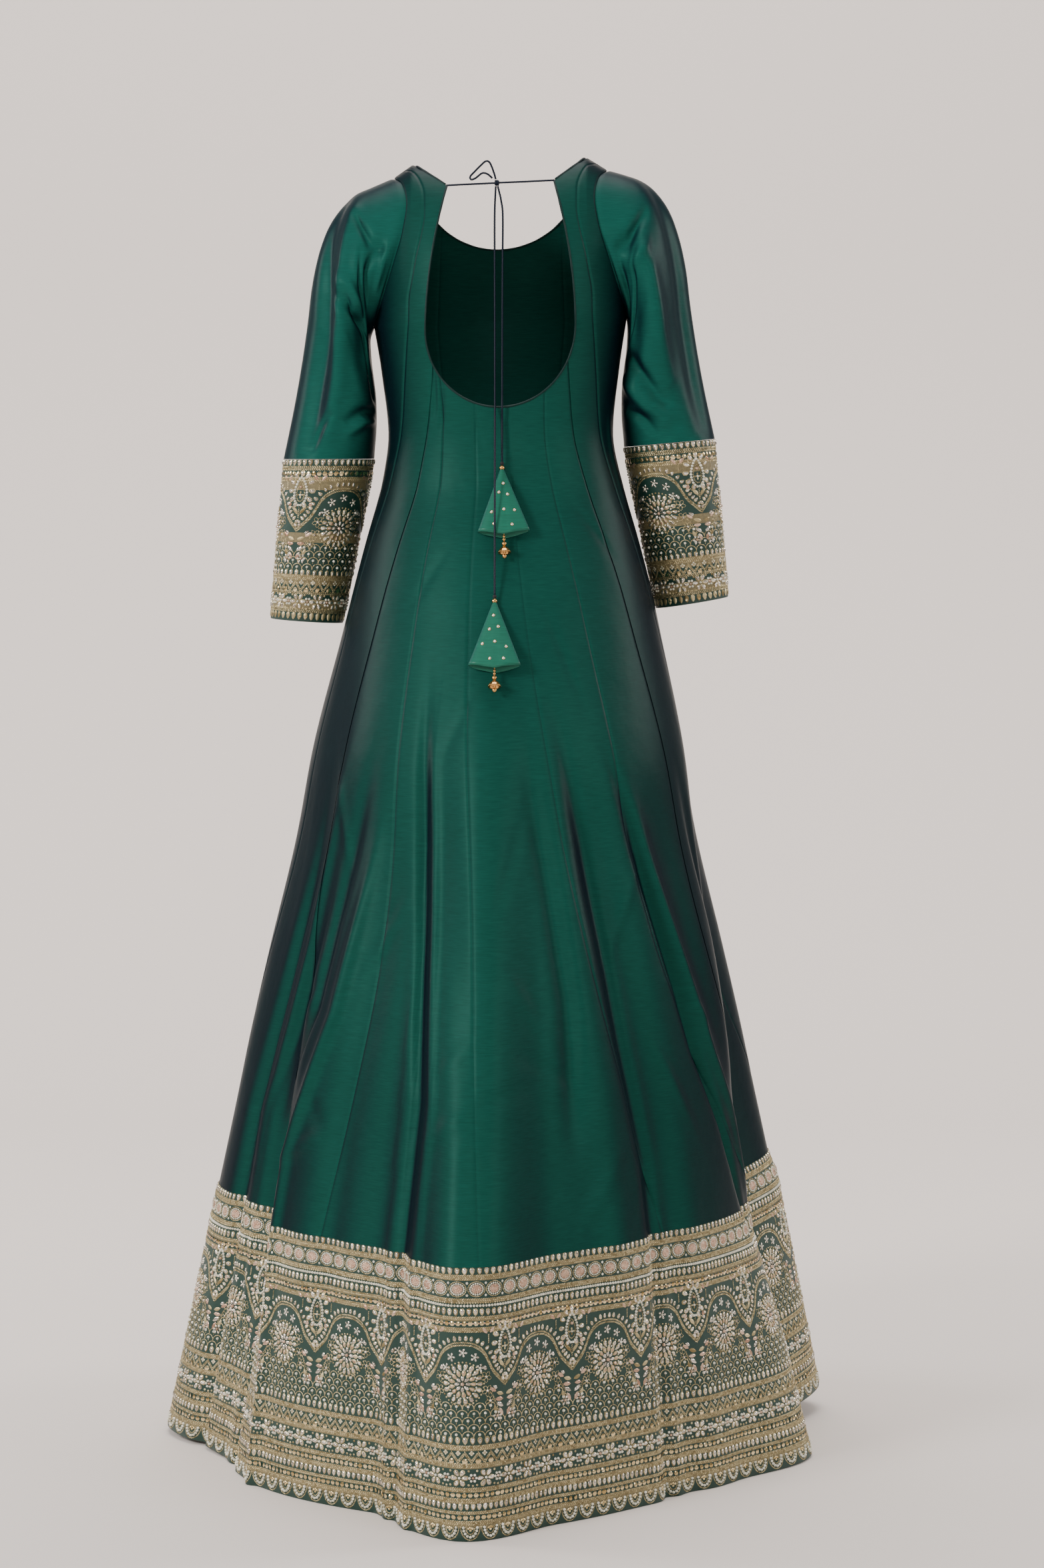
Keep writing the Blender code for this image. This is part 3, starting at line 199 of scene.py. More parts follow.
FOLDS = [
    {"fold": "centre back crest", "angle": -5, "border": 0.442, "hem": 0.452, "lift": 0.000},
    {"fold": "centre back, right slope", "angle": 9, "border": 0.366, "hem": 0.386, "lift": 0.000},
    {"fold": "wide back hollow", "angle": 33, "border": 0.312, "hem": 0.338, "lift": 0.000},
    {"fold": "wide back hollow, right", "angle": 53, "border": 0.296, "hem": 0.331, "lift": 0.000},
    {"fold": "right back crest", "angle": 75, "border": 0.294, "hem": 0.367, "lift": 0.002},
    {"fold": "right deep valley", "angle": 93, "border": 0.268, "hem": 0.322, "lift": 0.012},
    {"fold": "right front crest", "angle": 114, "border": 0.350, "hem": 0.414, "lift": 0.030},
    {"fold": "front valley 1", "angle": 131, "border": 0.316, "hem": 0.368, "lift": 0.032},
    {"fold": "front crest 1", "angle": 147, "border": 0.354, "hem": 0.424, "lift": 0.034},
    {"fold": "front valley 2", "angle": 163, "border": 0.322, "hem": 0.372, "lift": 0.035},
    {"fold": "front crest 2", "angle": 179, "border": 0.362, "hem": 0.430, "lift": 0.036},
    {"fold": "front valley 3", "angle": 195, "border": 0.320, "hem": 0.370, "lift": 0.034},
    {"fold": "front crest 3", "angle": 211, "border": 0.352, "hem": 0.422, "lift": 0.030},
    {"fold": "front valley 4", "angle": 227, "border": 0.314, "hem": 0.366, "lift": 0.026},
    {"fold": "front crest 4", "angle": 243, "border": 0.346, "hem": 0.414, "lift": 0.018},
    {"fold": "left hollow", "angle": 253, "border": 0.326, "hem": 0.380, "lift": 0.013},
    {"fold": "left crest", "angle": 264, "border": 0.336, "hem": 0.398, "lift": 0.008},
    {"fold": "left slope", "angle": 283, "border": 0.300, "hem": 0.344, "lift": 0.003},
    {"fold": "left valley", "angle": 295, "border": 0.286, "hem": 0.341, "lift": 0.000},
    {"fold": "left back crest", "angle": 310, "border": 0.323, "hem": 0.352, "lift": 0.000},
    {"fold": "left back hollow", "angle": 337, "border": 0.350, "hem": 0.362, "lift": 0.000},
    {"fold": "narrow back valley", "angle": 343, "border": 0.374, "hem": 0.396, "lift": 0.000},
]
KNEE_HEIGHT = 0.62
SEAMS = [
    {"seam": "A", "chest": -36.0, "waist": -36.0, "knee": -30.0, "border": -37.0},
    {"seam": "B", "chest": -16.0, "waist": -15.0, "knee": -6.0, "border": -3.0},
    {"seam": "C", "chest": 4.0, "waist": 6.0, "knee": 20.0, "border": 36.5},
    {"seam": "D", "chest": 26.0, "waist": 29.5, "knee": 43.0, "border": 78.0},
    {"seam": "E", "chest": 39.4, "waist": 50.0, "knee": 68.0, "border": 100.0},
    {"seam": "F", "chest": 57.0, "waist": 71.0, "knee": 94.0, "border": 122.0},
    {"seam": "G", "chest": 90.0, "waist": 97.0, "knee": 120.0, "border": 144.0},
    {"seam": "H", "chest": 146.0, "waist": 150.0, "knee": 156.0, "border": 168.0},
    {"seam": "I", "chest": 214.0, "waist": 210.0, "knee": 204.0, "border": 197.0},
    {"seam": "J", "chest": 270.0, "waist": 263.0, "knee": 246.0, "border": 226.0},
    {"seam": "K", "chest": 303.0, "waist": 289.0, "knee": 272.0, "border": 254.0},
    {"seam": "L", "chest": 320.6, "waist": 310.0, "knee": 300.0, "border": 292.0},
]
CUTOUT_HALF_WIDTH = 0.085
CUTOUT_WIDEST = 1.290
CUTOUT_DROP = 0.090
TIE_CORNER_X = 0.061
TIE_CORNER_HEIGHT = 1.4535
CUTOUT_POWER = 1.8
NECK_X = 0.0995
NECK_DROP = 0.095
FRONT_SEAM_NECK_X = 0.070
SHOULDER = [
    {"armhole_x": 0.1450, "armhole": 1.300, "seam_x": 0.1045, "seam": 1.300, "edge": 1.3000},
    {"armhole_x": 0.1415, "armhole": 1.311, "seam_x": 0.1040, "seam": 1.325, "edge": 1.3250},
    {"armhole_x": 0.1355, "armhole": 1.328, "seam_x": 0.1000, "seam": 1.350, "edge": 1.3500},
    {"armhole_x": 0.1280, "armhole": 1.351, "seam_x": 0.0955, "seam": 1.375, "edge": 1.3750},
    {"armhole_x": 0.1195, "armhole": 1.378, "seam_x": 0.0900, "seam": 1.398, "edge": 1.4010},
    {"armhole_x": 0.1115, "armhole": 1.405, "seam_x": 0.0865, "seam": 1.422, "edge": 1.4270},
    {"armhole_x": 0.1070, "armhole": 1.437, "seam_x": 0.0870, "seam": 1.445, "edge": 1.4535},
    {"armhole_x": 0.1120, "armhole": 1.465, "seam_x": 0.0950, "seam": 1.467, "edge": 1.4700},
    {"armhole_x": 0.1220, "armhole": 1.482, "seam_x": 0.1110, "seam": 1.482, "edge": 1.4820},
]
NECKLINE_ROW = 3
SHOULDER_DROP = 0.65
TILT = 0.047

# The creases that the silk falls into over its main folds: each runs down the heights at these angles, and is
# a trough where its depth is below nothing and a ridge above it.
CREASES = [
    {"crease": "left princess trough", "from": 0.86, "to": 0.0, "width": 0.0128, "depth": -0.0116,
     "path": [(0.86, -39.0), (0.74, -44.0), (0.63, -48.0), (0.53, -50.5), (0.44, -60.0), (0.37, -65.5), (0.0, -66.0)]},
    {"crease": "ridge beside it", "from": 0.80, "to": 0.0, "width": 0.0102, "depth": 0.0083,
     "path": [(0.80, -34.0), (0.63, -38.5), (0.53, -41.0), (0.37, -52.0), (0.0, -53.0)]},
    {"crease": "narrow back fold", "from": 0.95, "to": 0.0, "width": 0.0075, "depth": -0.009,
     "path": [(0.95, -26.5), (0.75, -21.5), (0.625, -18.5), (0.45, -15.5), (0.295, -16.5), (0.0, -17.5)]},
    {"crease": "narrow back fold's lip", "from": 0.90, "to": 0.0, "width": 0.0067, "depth": 0.006,
     "path": [(0.90, -22.5), (0.75, -18.0), (0.625, -15.3), (0.45, -12.6), (0.295, -13.7), (0.0, -14.5)]},
    {"crease": "soft centre fold", "from": 0.86, "to": 0.36, "width": 0.0115, "depth": -0.0066,
     "path": [(0.86, 7.0), (0.78, 8.5), (0.666, 12.0), (0.55, 14.5), (0.36, 14.0)]},
    {"crease": "fold along the right seam", "from": 0.93, "to": 0.0, "width": 0.0109, "depth": -0.0099,
     "path": [(0.93, 12.0), (0.83, 18.5), (0.72, 23.0), (0.61, 26.0), (0.50, 28.5), (0.365, 33.0), (0.0, 34.0)]},
    {"crease": "right step", "from": 0.85, "to": 0.20, "width": 0.009, "depth": -0.0116,
     "path": [(0.85, 31.0), (0.755, 39.0), (0.646, 45.5), (0.567, 50.0), (0.477, 55.0), (0.388, 64.0), (0.20, 76.0)]},
    {"crease": "right step's lip", "from": 0.80, "to": 0.20, "width": 0.009, "depth": 0.0083,
     "path": [(0.80, 38.0), (0.755, 43.0), (0.646, 50.0), (0.567, 55.0), (0.477, 61.0), (0.388, 71.0), (0.20, 82.0)]},
    {"crease": "left side trough", "from": 0.80, "to": 0.0, "width": 0.0102, "depth": -0.0099,
     "path": [(0.80, -62.0), (0.60, -72.0), (0.40, -81.0), (0.0, -83.0)]},
    {"crease": "left side ridge", "from": 0.86, "to": 0.1, "width": 0.0102, "depth": 0.0083,
     "path": [(0.86, -52.0), (0.60, -62.0), (0.40, -74.0), (0.1, -75.0)]},
    {"crease": "right side trough", "from": 0.84, "to": 0.0, "width": 0.0115, "depth": -0.0099,
     "path": [(0.84, 64.0), (0.60, 82.0), (0.40, 95.0), (0.0, 98.0)]},
    {"crease": "front fold 1", "from": 0.88, "to": 0.05, "width": 0.0115, "depth": -0.0099,
     "path": [(0.88, 128.0), (0.60, 130.0), (0.05, 131.0)]},
    {"crease": "front fold 2", "from": 0.78, "to": 0.05, "width": 0.0128, "depth": -0.0099,
     "path": [(0.78, 160.0), (0.50, 162.0), (0.05, 163.5)]},
    {"crease": "front fold 3", "from": 0.90, "to": 0.05, "width": 0.0109, "depth": -0.0099,
     "path": [(0.90, 197.0), (0.50, 196.0), (0.05, 195.0)]},
    {"crease": "front fold 4", "from": 0.80, "to": 0.05, "width": 0.0122, "depth": -0.0099,
     "path": [(0.80, 224.0), (0.50, 226.0), (0.05, 227.0)]},
    {"crease": "broad hollow by the left trough", "from": 0.84, "to": 0.0, "width": 0.026, "depth": -0.0085,
     "path": [(0.84, -44.0), (0.63, -55.0), (0.44, -68.0), (0.0, -72.0)]},
    {"crease": "broad hollow left of the narrow fold", "from": 0.80, "to": 0.05, "width": 0.024, "depth": -0.0060,
     "path": [(0.80, -30.0), (0.60, -30.0), (0.40, -34.0), (0.05, -36.0)]},
    {"crease": "broad hollow right of the narrow fold", "from": 0.78, "to": 0.10, "width": 0.022, "depth": -0.0060,
     "path": [(0.78, -12.0), (0.60, -8.0), (0.40, -4.0), (0.10, -4.5)]},
    {"crease": "broad slope by the right seam", "from": 0.95, "to": 0.0, "width": 0.026, "depth": -0.0095,
     "path": [(0.95, 17.0), (0.80, 24.0), (0.60, 31.5), (0.40, 37.5), (0.0, 40.0)]},
    {"crease": "broad ridge before it", "from": 0.85, "to": 0.10, "width": 0.024, "depth": 0.0060,
     "path": [(0.85, 11.0), (0.65, 17.0), (0.45, 22.0), (0.10, 24.0)]},
    {"crease": "broad hollow on the right", "from": 0.82, "to": 0.10, "width": 0.028, "depth": -0.0090,
     "path": [(0.82, 47.0), (0.60, 60.0), (0.42, 74.0), (0.10, 84.0)]},
    {"crease": "thin left fold", "from": 0.70, "to": 0.05, "width": 0.0070, "depth": -0.0065,
     "path": [(0.70, -57.0), (0.55, -63.0), (0.40, -74.0), (0.05, -76.0)]},
    {"crease": "pleat under the cut-out", "from": 1.25, "to": 1.185, "width": 0.004, "depth": -0.0018,
     "path": [(1.25, -39.0), (1.185, -40.8)]},
    {"crease": "second pleat", "from": 1.24, "to": 1.17, "width": 0.004, "depth": -0.0016,
     "path": [(1.24, -34.5), (1.17, -37.5)]},
    {"crease": "slanting pleat", "from": 1.20, "to": 1.15, "width": 0.005, "depth": -0.0012,
     "path": [(1.20, -18.5), (1.15, -10.0)]},
    {"crease": "side seam pucker", "from": 1.21, "to": 1.07, "width": 0.006, "depth": 0.0022,
     "path": [(1.21, 75.0), (1.07, 77.5)]},
]
# Short crinkles where the silk has been folded away: a height and an angle, how long and wide, and their slant.
CRINKLES = [
    {"height": 0.430, "angle": -9.0, "long": 0.045, "wide": 0.0060, "slant": 0.9, "depth": 0.0020},
    {"height": 0.405, "angle": -3.5, "long": 0.035, "wide": 0.0050, "slant": -0.7, "depth": 0.0018},
    {"height": 0.455, "angle": -2.0, "long": 0.040, "wide": 0.0050, "slant": 1.3, "depth": -0.0018},
    {"height": 0.380, "angle": -47.0, "long": 0.040, "wide": 0.0060, "slant": 1.1, "depth": 0.0025},
    {"height": 0.420, "angle": -43.0, "long": 0.030, "wide": 0.0050, "slant": -0.8, "depth": -0.0020},
    {"height": 0.350, "angle": 20.0, "long": 0.050, "wide": 0.0080, "slant": 0.6, "depth": 0.0016},
    {"height": 0.520, "angle": 58.0, "long": 0.050, "wide": 0.0070, "slant": -0.9, "depth": 0.0020},
    {"height": 0.610, "angle": -30.0, "long": 0.050, "wide": 0.0060, "slant": 0.5, "depth": 0.0014},
    {"height": 0.700, "angle": 2.0, "long": 0.060, "wide": 0.0070, "slant": 0.3, "depth": -0.0014},
    {"height": 0.560, "angle": 4.0, "long": 0.050, "wide": 0.0060, "slant": -0.6, "depth": 0.0013},
    {"height": 0.500, "angle": -8.0, "long": 0.040, "wide": 0.0050, "slant": 0.8, "depth": 0.0014},
    {"height": 0.480, "angle": 10.0, "long": 0.045, "wide": 0.0060, "slant": -1.1, "depth": -0.0013},
    {"height": 0.640, "angle": 34.0, "long": 0.060, "wide": 0.0060, "slant": 0.5, "depth": 0.0018},
    {"height": 0.450, "angle": 44.0, "long": 0.060, "wide": 0.0070, "slant": -0.5, "depth": 0.0018},
    {"height": 0.740, "angle": -52.0, "long": 0.060, "wide": 0.0060, "slant": -0.4, "depth": 0.0018},
    {"height": 0.530, "angle": -58.0, "long": 0.050, "wide": 0.0070, "slant": 0.7, "depth": -0.0020},
    {"height": 0.860, "angle": -12.0, "long": 0.050, "wide": 0.0060, "slant": 0.4, "depth": -0.0012},
    {"height": 0.930, "angle": 22.0, "long": 0.060, "wide": 0.0060, "slant": -0.3, "depth": -0.0014},
    {"height": 1.020, "angle": -30.0, "long": 0.040, "wide": 0.0050, "slant": 0.5, "depth": -0.0012},
    {"height": 1.060, "angle": 48.0, "long": 0.040, "wide": 0.0050, "slant": -0.6, "depth": -0.0012},
    {"height": 0.600, "angle": 150.0, "long": 0.060, "wide": 0.0070, "slant": 0.5, "depth": 0.0018},
    {"height": 0.480, "angle": 182.0, "long": 0.050, "wide": 0.0060, "slant": -0.8, "depth": -0.0018},
    {"height": 0.700, "angle": 205.0, "long": 0.060, "wide": 0.0060, "slant": 0.4, "depth": 0.0016},
]


def column(table, name):
    return np.array([row[name] for row in table], float)


def smooth(xs, ys, x):
    """A smooth curve through the points (xs, ys) that never overshoots them, read at x."""
    step = np.diff(xs)
    slope = np.diff(ys) / step
    tangent = np.empty(len(xs))
    tangent[0] = slope[0]
    tangent[-1] = slope[-1]
    before, after = slope[:-1], slope[1:]
    rising = before * after > 0
    total = np.where(rising, before + after, 1.0)
    tangent[1:-1] = np.where(rising, 2 * before * after / total, 0.0)
    i = np.clip(np.searchsorted(xs, x) - 1, 0, len(step) - 1)
    t = np.clip((x - xs[i]) / step[i], 0, 1)
    rise = (3 - 2 * t) * t * t
    return (
        ys[i] * (1 - rise)
        + ys[i + 1] * rise
        + step[i] * t * (1 - t) * (tangent[i] * (1 - t) - tangent[i + 1] * t)
    )


def fold_value(angle, name):
    angles, values = column(FOLDS, "angle"), column(FOLDS, name)
    angles = np.concatenate([angles[-2:] - 360, angles, angles[:2] + 360])
    values = np.concatenate([values[-2:], values, values[:2]])
    return smooth(angles, values, (np.asarray(angle, float) + 20) % 360 - 20)


def border_height(angle):
    return BORDER_HEIGHT + fold_value(angle, "lift")


def oval_radius(angle, half_width, back, front):
    turn = np.radians(angle)
    depth = np.where(np.cos(turn) > 0, back, front)
    across = np.abs(np.sin(turn) / half_width) ** SECTION_POWER
    along = np.abs(np.cos(turn) / np.maximum(depth, 1e-6)) ** SECTION_POWER
    return (across + along) ** (-1 / SECTION_POWER)


def bodice_value(height, name):
    return smooth(column(BODICE, "height"), column(BODICE, name), height)


def shoulder_share(height):
    rise = np.clip((height - ARMPIT_HEIGHT) / SHOULDER_RISE, 0, 1)
    return np.sqrt(1 - rise * rise)


def radius(angle, height):
    """The gown's radius about its vertical axis, as in the solids, from the hem to the shoulders."""
    angle, height = np.broadcast_arrays(np.asarray(angle, float), np.asarray(height, float))
    level = np.clip(height, WAIST_HEIGHT, ARMPIT_HEIGHT)
    share = shoulder_share(height)
    torso = oval_radius(
        angle,
        bodice_value(level, "half_width"),
        bodice_value(level, "back") * share,
        bodice_value(level, "front") * share,
    )
    base = oval_radius(angle, SKIRT_HALF_WIDTH, SKIRT_BACK, SKIRT_FRONT)
    border = fold_value(angle, "border")
    top, hem = border_height(angle), fold_value(angle, "lift")
    flare = smooth(column(FLARE, "height"), column(FLARE, "share"), np.clip(height, BORDER_HEIGHT, WAIST_HEIGHT))
    grow = np.clip((FOLDS_START - height) / (FOLDS_START - top), 0, 1) ** FOLDS_POWER
    skirt = torso + (base - torso) * flare + (border - base) * grow
    down = np.clip((top - height) / (top - hem), 0, 1)
    return skirt + (fold_value(angle, "hem") - border) * down


def crease_depth(angle, height):
    """How far the creases and crinkles stand out at points of the gown."""
    out = np.zeros(np.shape(angle))
    turned = (angle + 110) % 360 - 110
    reach = radius(angle, height)
    for row in CREASES:
        path = np.array(row["path"])[::-1]
        centre = np.interp(height, path[:, 0], path[:, 1])
        away = np.radians((turned - centre + 180) % 360 - 180) * reach / row["width"]
        fade = np.clip((row["from"] - height) / (0.35 * (row["from"] - row["to"])), 0, 1)
        if row["to"] > 0.0:
            fade = fade * np.clip((height - row["to"]) / (0.25 * (row["from"] - row["to"])), 0, 1)
        out += row["depth"] * fade * fade * (3 - 2 * fade) * np.exp(-away * away)
    for row in CRINKLES:
        across = np.radians(turned - row["angle"]) * reach
        up = height - row["height"]
        long = up * math.cos(row["slant"]) + across * math.sin(row["slant"])
        wide = across * math.cos(row["slant"]) - up * math.sin(row["slant"])
        out += row["depth"] * np.exp(-((long / row["long"]) ** 2) - (wide / row["wide"]) ** 2)
    return out


def polar_point(angle, height, out=0.0):
    """A point of the cloth, by its angle from the centre back and its height, with the creases."""
    angle, height = np.broadcast_arrays(np.asarray(angle, float), np.asarray(height, float))
    near_waist = np.exp(-(((height - WAIST_HEIGHT) / WAIST_EASE) ** 2))
    eased = (radius(angle, height - WAIST_STEP) + 2 * radius(angle, height) + radius(angle, height + WAIST_STEP)) / 4
    reach = radius(angle, height) * (1 - near_waist) + eased * near_waist + crease_depth(angle, height) + out
    turn = np.radians(angle)
    shift = bodice_value(np.clip(height, WAIST_HEIGHT, ARMPIT_HEIGHT), "shift")
    return np.stack([reach * np.sin(turn) + shift, -reach * np.cos(turn), height], axis=-1)


def shoulder_point(x, height, side):
    """A point of the bodice, by its distance from the centre and its height. side is -1 behind and 1 before."""
    x, height = np.broadcast_arrays(np.asarray(x, float), np.asarray(height, float))
    level = np.clip(height, WAIST_HEIGHT, ARMPIT_HEIGHT)
    depth = bodice_value(level, "back" if side < 0 else "front") * shoulder_share(height)
    left = np.clip(1 - np.abs(x / bodice_value(level, "half_width")) ** SECTION_POWER, 0, 1)
    y = side * np.maximum(depth * left ** (1 / SECTION_POWER), SEAM_GAP / 2)
    return np.stack([x + bodice_value(level, "shift"), y, height], axis=-1)


def worn(points):
    """Tilts the bodice with the shoulders, lets them fall away from the neck, and sets the gown in its frame."""
    x, height = points[..., 0], points[..., 2]
    fade = np.clip((height - WAIST_HEIGHT) / (ARMPIT_HEIGHT - WAIST_HEIGHT), 0, 1)
    rise = np.clip((height - ARMPIT_HEIGHT) / SHOULDER_RISE, 0, 1)
    moved = points.copy()
    moved[..., 2] += TILT * x * fade - SHOULDER_DROP * np.maximum(np.abs(x) - NECK_X, 0) * rise**2
    moved[..., 2] -= SHOULDER_HEIGHT
    return moved


def seam_angle(index, height):
    seam = SEAMS[index % len(SEAMS)]
    turns = 360 * (index // len(SEAMS))
    heights = np.array([BORDER_HEIGHT, KNEE_HEIGHT, WAIST_HEIGHT, CHEST_HEIGHT])
    angles = np.array([seam["border"], seam["knee"], seam["waist"], seam["chest"]])
    return turns + smooth(heights, angles, np.clip(height, BORDER_HEIGHT, CHEST_HEIGHT))


def cutout_half_width(height):
    low = np.clip((CUTOUT_WIDEST - height) / CUTOUT_DROP, 0, 1)
    high = np.clip((height - CUTOUT_WIDEST) / (TIE_CORNER_HEIGHT - CUTOUT_WIDEST), 0, 1)
    below = CUTOUT_HALF_WIDTH * np.sqrt(1 - low * low)
    above = CUTOUT_HALF_WIDTH - (CUTOUT_HALF_WIDTH - TIE_CORNER_X) * high**CUTOUT_POWER
    return np.where(height < CUTOUT_WIDEST, below, above)


def cutout_height(angle):
    height = np.full(np.shape(angle), CUTOUT_WIDEST - CUTOUT_DROP)
    for _ in range(12):
        across = radius(angle, height) * np.sin(np.radians(angle))
        level = np.sqrt(np.clip(1 - (across / CUTOUT_HALF_WIDTH) ** 2, 0, 1))
        height = 0.5 * height + 0.5 * (CUTOUT_WIDEST - CUTOUT_DROP * level)
    return np.minimum(height, CHEST_HEIGHT)


def level_top(angle):
    return np.full(np.shape(angle), CHEST_HEIGHT)


def back_edge_x(height):
    rise = np.clip((height - TIE_CORNER_HEIGHT) / (SHOULDER_HEIGHT - TIE_CORNER_HEIGHT), 0, 1)
    return np.where(height > TIE_CORNER_HEIGHT, TIE_CORNER_X + (NECK_X - TIE_CORNER_X) * rise, cutout_half_width(height))


def neckline_height(x):
    return SHOULDER_HEIGHT - NECK_DROP * np.sqrt(np.clip(1 - (x / NECK_X) ** 2, 0, 1))


def angle_at(x, height, side):
    """The angle from the centre back of a point of the bodice at a distance from the centre."""
    level = np.clip(height, WAIST_HEIGHT, ARMPIT_HEIGHT)
    half_width = bodice_value(level, "half_width")
    depth = bodice_value(level, "back" if side < 0 else "front") * shoulder_share(height)
    left = np.clip(1 - np.abs(x / half_width) ** SECTION_POWER, 0, 1) ** (1 / SECTION_POWER)
    return np.degrees(np.arctan2(x, -side * depth * left)) % 360


def front_edge():
    corner = neckline_height(FRONT_SEAM_NECK_X)
    chest_x = abs(float(radius(146.0, ARMPIT_HEIGHT) * math.sin(math.radians(146.0))))
    along = np.linspace(0, 1, NECKLINE_ROW + 1)
    seam_x = chest_x + (FRONT_SEAM_NECK_X - chest_x) * along
    seam_height = ARMPIT_HEIGHT + (corner - ARMPIT_HEIGHT) * along
    start = math.asin(FRONT_SEAM_NECK_X / NECK_X)
    turn = np.linspace(start, math.pi / 2, len(SHOULDER) - NECKLINE_ROW)[1:]
    neck_x = NECK_X * np.sin(turn)
    neck_height = SHOULDER_HEIGHT - NECK_DROP * np.cos(turn)
    return np.concatenate([seam_x, neck_x]), np.concatenate([seam_height, neck_height])


# A panel's grid: how many points across, up the skirt and bodice, by the chest, and over the shoulder.
ACROSS = 45
LOWER = 116
BY_CHEST = 7
OVER_SHOULDER = 33
SEAM_ROLL = 0.0016
SEAM_SINK = 0.0007

SIDE_PANELS = [
    {"panel": "back_shoulder_panel", "right": 4, "left": 10, "first": "cut-out", "last": "back seam", "side": -1},
    {"panel": "side_panel", "right": 5, "left": 9, "first": "back seam", "last": "armhole", "side": -1},
    {"panel": "front_panel", "right": 6, "left": 8, "first": "armhole", "last": "front seam", "side": 1},
]

chest_heights = np.linspace(CHEST_HEIGHT, ARMPIT_HEIGHT, BY_CHEST + 1)[1:]
fine_rows = np.linspace(0, len(SHOULDER) - 1, OVER_SHOULDER)
table_rows = np.arange(len(SHOULDER), dtype=float)
seam_x = column(SHOULDER, "seam_x")
edge_height = smooth(table_rows, column(SHOULDER, "edge"), fine_rows)
front_x, front_height = front_edge()
seam_angle_above = float(angle_at(seam_x[0], ARMPIT_HEIGHT, -1))
EDGES = {
    "cut-out": {
        "angles": angle_at(cutout_half_width(chest_heights), chest_heights, -1),
        "x": back_edge_x(edge_height),
        "height": edge_height,
    },
    "back seam": {
        "angles": np.interp(chest_heights, [CHEST_HEIGHT, ARMPIT_HEIGHT], [SEAMS[5]["chest"], seam_angle_above]),
        "x": smooth(table_rows, seam_x, fine_rows),
        "height": smooth(table_rows, column(SHOULDER, "seam"), fine_rows),
    },
    "armhole": {
        "angles": np.full(BY_CHEST, 90.0),
        "x": smooth(table_rows, column(SHOULDER, "armhole_x"), fine_rows),
        "height": smooth(table_rows, column(SHOULDER, "armhole"), fine_rows),
    },
    "front seam": {
        "angles": np.full(BY_CHEST, SEAMS[7]["chest"]),
        "x": np.interp(fine_rows, table_rows, front_x),
        "height": np.interp(fine_rows, table_rows, front_height),
    },
}


def lower_rows(index, top, levels, across=ACROSS):
    """Rows of a panel between its two seams, at shares of the way from the border's top up to a height."""
    share = np.linspace(0, 1, across)
    level = np.asarray(levels)[:, None]
    angle = seam_angle(index, BORDER_HEIGHT) * (1 - share) + seam_angle(index + 1, BORDER_HEIGHT) * share
    angle = np.broadcast_to(angle, (len(level), across))
    for _ in range(8):
        start = border_height(angle) + SEAM_GAP / 2
        height = start + (top(angle) - start) * level
        angle = seam_angle(index, height) * (1 - share) + seam_angle(index + 1, height) * share
    return angle, height


def spin_of(x):
    return np.arcsin(np.clip(np.abs(x) / BODICE[-1]["half_width"], 0, 1) ** (SECTION_POWER / 2))


def across_of(spin):
    return BODICE[-1]["half_width"] * np.sin(spin) ** (2 / SECTION_POWER)


def upper_rows(panel, hand):
    """A side panel's points above the chest's level, in order round the gown."""
    first, last = EDGES[panel["first"]], EDGES[panel["last"]]
    side = panel["side"]
    share = np.linspace(0, 1, ACROSS)
    angle = np.outer(first["angles"], 1 - share) + np.outer(last["angles"], share)
    angle = angle if hand > 0 else (360 - angle)[:, ::-1]
    chest = polar_point(angle, chest_heights[:, None])
    spin = np.outer(spin_of(first["x"]), 1 - share) + np.outer(spin_of(last["x"]), share)
    height = np.outer(first["height"], 1 - share) + np.outer(last["height"], share)
    upper = shoulder_point(hand * across_of(spin), height, side)[1:]
    return np.concatenate([chest, upper if hand > 0 else upper[:, ::-1]])


def seam_sink(points, sides):
    """Turns a panel's edges in where it is sewn to the next one. sides says which of the two are seams."""
    step = np.linalg.norm(np.diff(points, axis=1), axis=-1)
    along = np.concatenate([np.zeros((len(points), 1)), np.cumsum(step, axis=1)], axis=1)
    from_first, from_last = along, along[:, -1:] - along
    away = np.minimum(from_first if sides[0] else 1.0, from_last if sides[1] else 1.0)
    return SEAM_SINK * np.exp(-((away / SEAM_ROLL) ** 2))


def grid_normals(points):
    """Outward normals of a grid whose rows go up and whose columns go round towards the wearer's right."""
    along = np.gradient(points, axis=0)
    around = np.gradient(points, axis=1)
    normal = np.cross(around, along)
    return normal / np.maximum(np.linalg.norm(normal, axis=-1, keepdims=True), 1e-9)


def even_columns(points):
    """Moves a grid's columns so that two lie close beside each edge, where the seam's roll needs them."""
    count = points.shape[1]
    place = np.linspace(0, 1, count)
    edge = np.array([0.0, 0.0012, 0.0026, 0.0045])
    rows = []
    for row in points:
        length = np.concatenate([[0], np.cumsum(np.linalg.norm(np.diff(row, axis=0), axis=1))])
        total = length[-1]
        wanted = place * total
        near = np.minimum(edge, total * 0.02 * np.arange(4))
        wanted[:4] = near
        wanted[-4:] = total - near[::-1]
        wanted[4:-4] = np.linspace(near[-1], total - near[-1], count - 6)[1:-1]
        rows.append(np.stack([np.interp(wanted, length, row[:, axis]) for axis in range(3)], axis=-1))
    return np.array(rows)


silk, silk_shader = shader_of("emerald_shot_taffeta")
silk_shader.inputs["Roughness"].default_value = 0.38
silk_shader.inputs["Specular IOR Level"].default_value = 0.08
silk_shader.inputs["Specular Tint"].default_value = linear("#9AD6C8")


